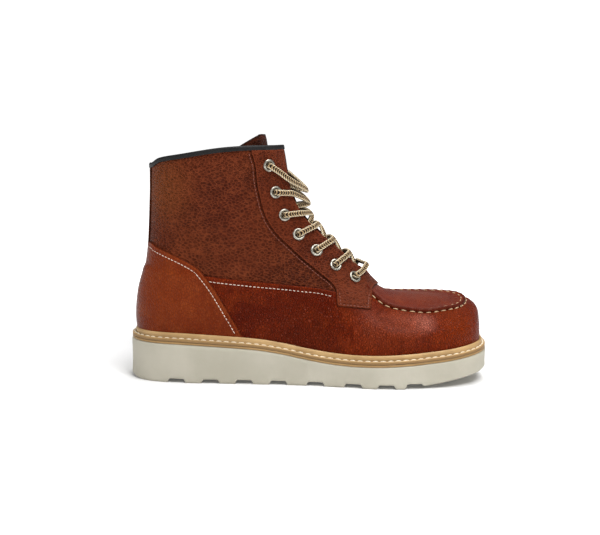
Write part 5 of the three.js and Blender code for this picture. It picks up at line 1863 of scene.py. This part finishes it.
def lace_paths():
    """The whole lace as one list of places: down one zigzag, over the bar and up the other."""
    def zigzag(side):
        path = []
        for row in range(lowest):
            path += lace_side(side, row)
            side = -side
        return path

    lowest = ROWS_OF_EYELETS - 1
    s0, a0 = eyelet_place(lowest, -1)
    s1, a1 = eyelet_place(lowest, 1)
    p0, n0 = last_point(s0, a0), last_normal(s0, a0)
    p1, n1 = last_point(s1, a1), last_normal(s1, a1)
    far_edge = float(angle_at(np.array(s1), throat_half(s1) + 1.0, 1))
    e1, m1 = last_point(s1, far_edge), last_normal(s1, far_edge)
    t0, t1 = unit(np.array(BAR_PLACES[0]) - p0), unit(e1 - p1)
    bar = [(p0 + n0 * (OVER - 0.4) + t0 * 1.9, n0 - t0 * 0.4)]
    bar += [(np.array(place), unit(n0 * (0.9 - 0.3 * i) + m1 * 0.3 * i))
            for i, place in enumerate(BAR_PLACES)]
    bar += [(e1 + m1 * (OVER + 0.4), m1), (p1 + n1 * (OVER - 0.4) + t1 * 1.9, n1 - t1 * 0.4)]
    return zigzag(-1) + bar + zigzag(1)[::-1]


def make_lace():
    """One flat lace of rounded section through all the places."""
    path = lace_paths()
    points = np.array([p for p, _ in path])
    ups = unit(np.array([n for _, n in path]))
    # even steps along the smooth line
    run = np.concatenate([[0], np.cumsum(np.linalg.norm(np.diff(points, axis=0), axis=1) ** 0.5)])
    dense = np.linspace(0, run[-1], 6000)
    index = np.interp(dense, run, np.arange(len(points)))
    line = smooth_row(points, index)
    up = smooth_row(ups, index)
    arc = arc_on(line)
    steps = int(arc[-1] / 0.75)
    at = np.linspace(0, arc[-1], steps)
    line = at_arcs(at, arc, line)
    up = at_arcs(at, arc, up)
    tangent = unit(np.gradient(line, axis=0))
    up = unit(up - (up * tangent).sum(1)[:, None] * tangent)
    # the wide side may not flip between neighbours
    for i in range(1, len(up)):
        if (up[i] * up[i - 1]).sum() < 0:
            up[i] = -up[i]
    side = np.cross(tangent, up)
    count = 20
    turn = np.linspace(0, TAU, count, endpoint=False)
    shape = np.stack([np.sign(np.cos(turn)) * np.abs(np.cos(turn)) ** 0.8 * LACE_WIDTH / 2,
                      np.sign(np.sin(turn)) * np.abs(np.sin(turn)) ** 0.8 * LACE_THICKNESS / 2], -1)
    # round: 0 and 1 at the lace's two thin edges and 0.5 on the middle of each wide side
    data = {"run": np.repeat(at, count), "round": np.tile((turn / TAU * 2) % 1, steps)}
    lace = sweep("boot_lace", line, side, up, lambda i: shape, M_LACE, attributes=data, sharp=80.0)
    keep(lace, "lace_cord", *[f"lace_crossing_{k}" for k in range(1, 7)], "lace_bar")


# ---- Stage

def make_stage():
    """A white floor under a white world, with soft lights from above, the front and the left."""
    scene = bpy.context.scene
    scene.view_settings.view_transform = "Standard"

    def sheet(name, corners, tree):
        mesh = bpy.data.meshes.new(name)
        mesh.from_pydata(corners, [], [(0, 1, 2, 3)])
        thing = bpy.data.objects.new(name, mesh)
        scene.collection.objects.link(thing)
        mesh.materials.append(tree.material)

    t = Tree("pale_floor")
    away = t.spot(0, 0, 0, 750.0, 0.6)
    t.set(colour=(0.82, 0.82, 0.82, 1.0), rough=0.9, specular=0.0)
    t.put(t.shader.inputs["Emission Color"], (1.0, 1.0, 1.0, 1.0))
    t.put(t.shader.inputs["Emission Strength"], t.span(away, 0.0, 1.0, 1.0, FLOOR_GLOW))
    sheet("floor", [(-6, -6, 0), (6, -6, 0), (6, 6, 0), (-6, 6, 0)], t)
    world = bpy.data.worlds.new("studio")
    scene.world = world
    world.use_nodes = True
    nodes, links = world.node_tree.nodes, world.node_tree.links
    dim = nodes["Background"]
    dim.inputs["Color"].default_value = (1.0, 1.0, 1.0, 1.0)
    dim.inputs["Strength"].default_value = WORLD_GLOW
    seen = nodes.new("ShaderNodeBackground")
    seen.inputs["Color"].default_value = (1.0, 1.0, 1.0, 1.0)
    seen.inputs["Strength"].default_value = SEEN_GLOW
    path = nodes.new("ShaderNodeLightPath")
    choice = nodes.new("ShaderNodeMixShader")
    links.new(path.outputs["Is Camera Ray"], choice.inputs[0])
    links.new(dim.outputs[0], choice.inputs[1])
    links.new(seen.outputs[0], choice.inputs[2])
    links.new(choice.outputs[0], nodes["World Output"].inputs[0])

    def area(name, at, aim, size_x, size_y, power):
        data = bpy.data.lights.new(name, "AREA")
        data.shape = "RECTANGLE"
        data.size, data.size_y = size_x, size_y
        data.energy = power
        lamp = bpy.data.objects.new(name, data)
        lamp.location = at
        lamp.rotation_euler = (Vector(aim) - Vector(at)).to_track_quat("-Z", "Y").to_euler()
        scene.collection.objects.link(lamp)

    area("key", (0.45, -0.95, 1.3), (0.0, 0.0, 0.08), 0.7, 0.5, 18)
    area("top", (0.15, 0.1, 1.4), (0.0, 0.0, 0.0), 1.2, 0.5, 18)
    area("left", (-1.3, -0.6, 0.7), (0.0, 0.0, 0.1), 0.6, 0.8, 3)


# The world's light on the boot, and what the camera sees of it; the floor's own glow under it
WORLD_GLOW = 0.3
SEEN_GLOW = 1.05
FLOOR_GLOW = 0.06

make_stage()
make_quarters()
make_vamp()
make_apron()
make_counter()
make_facing()
make_backstay()
make_binding()
make_tongue()
make_welt()
make_midsole()
make_outsole()
make_insole()
make_seams()
make_eyelets()
make_lace()

bpy.context.view_layer.update()
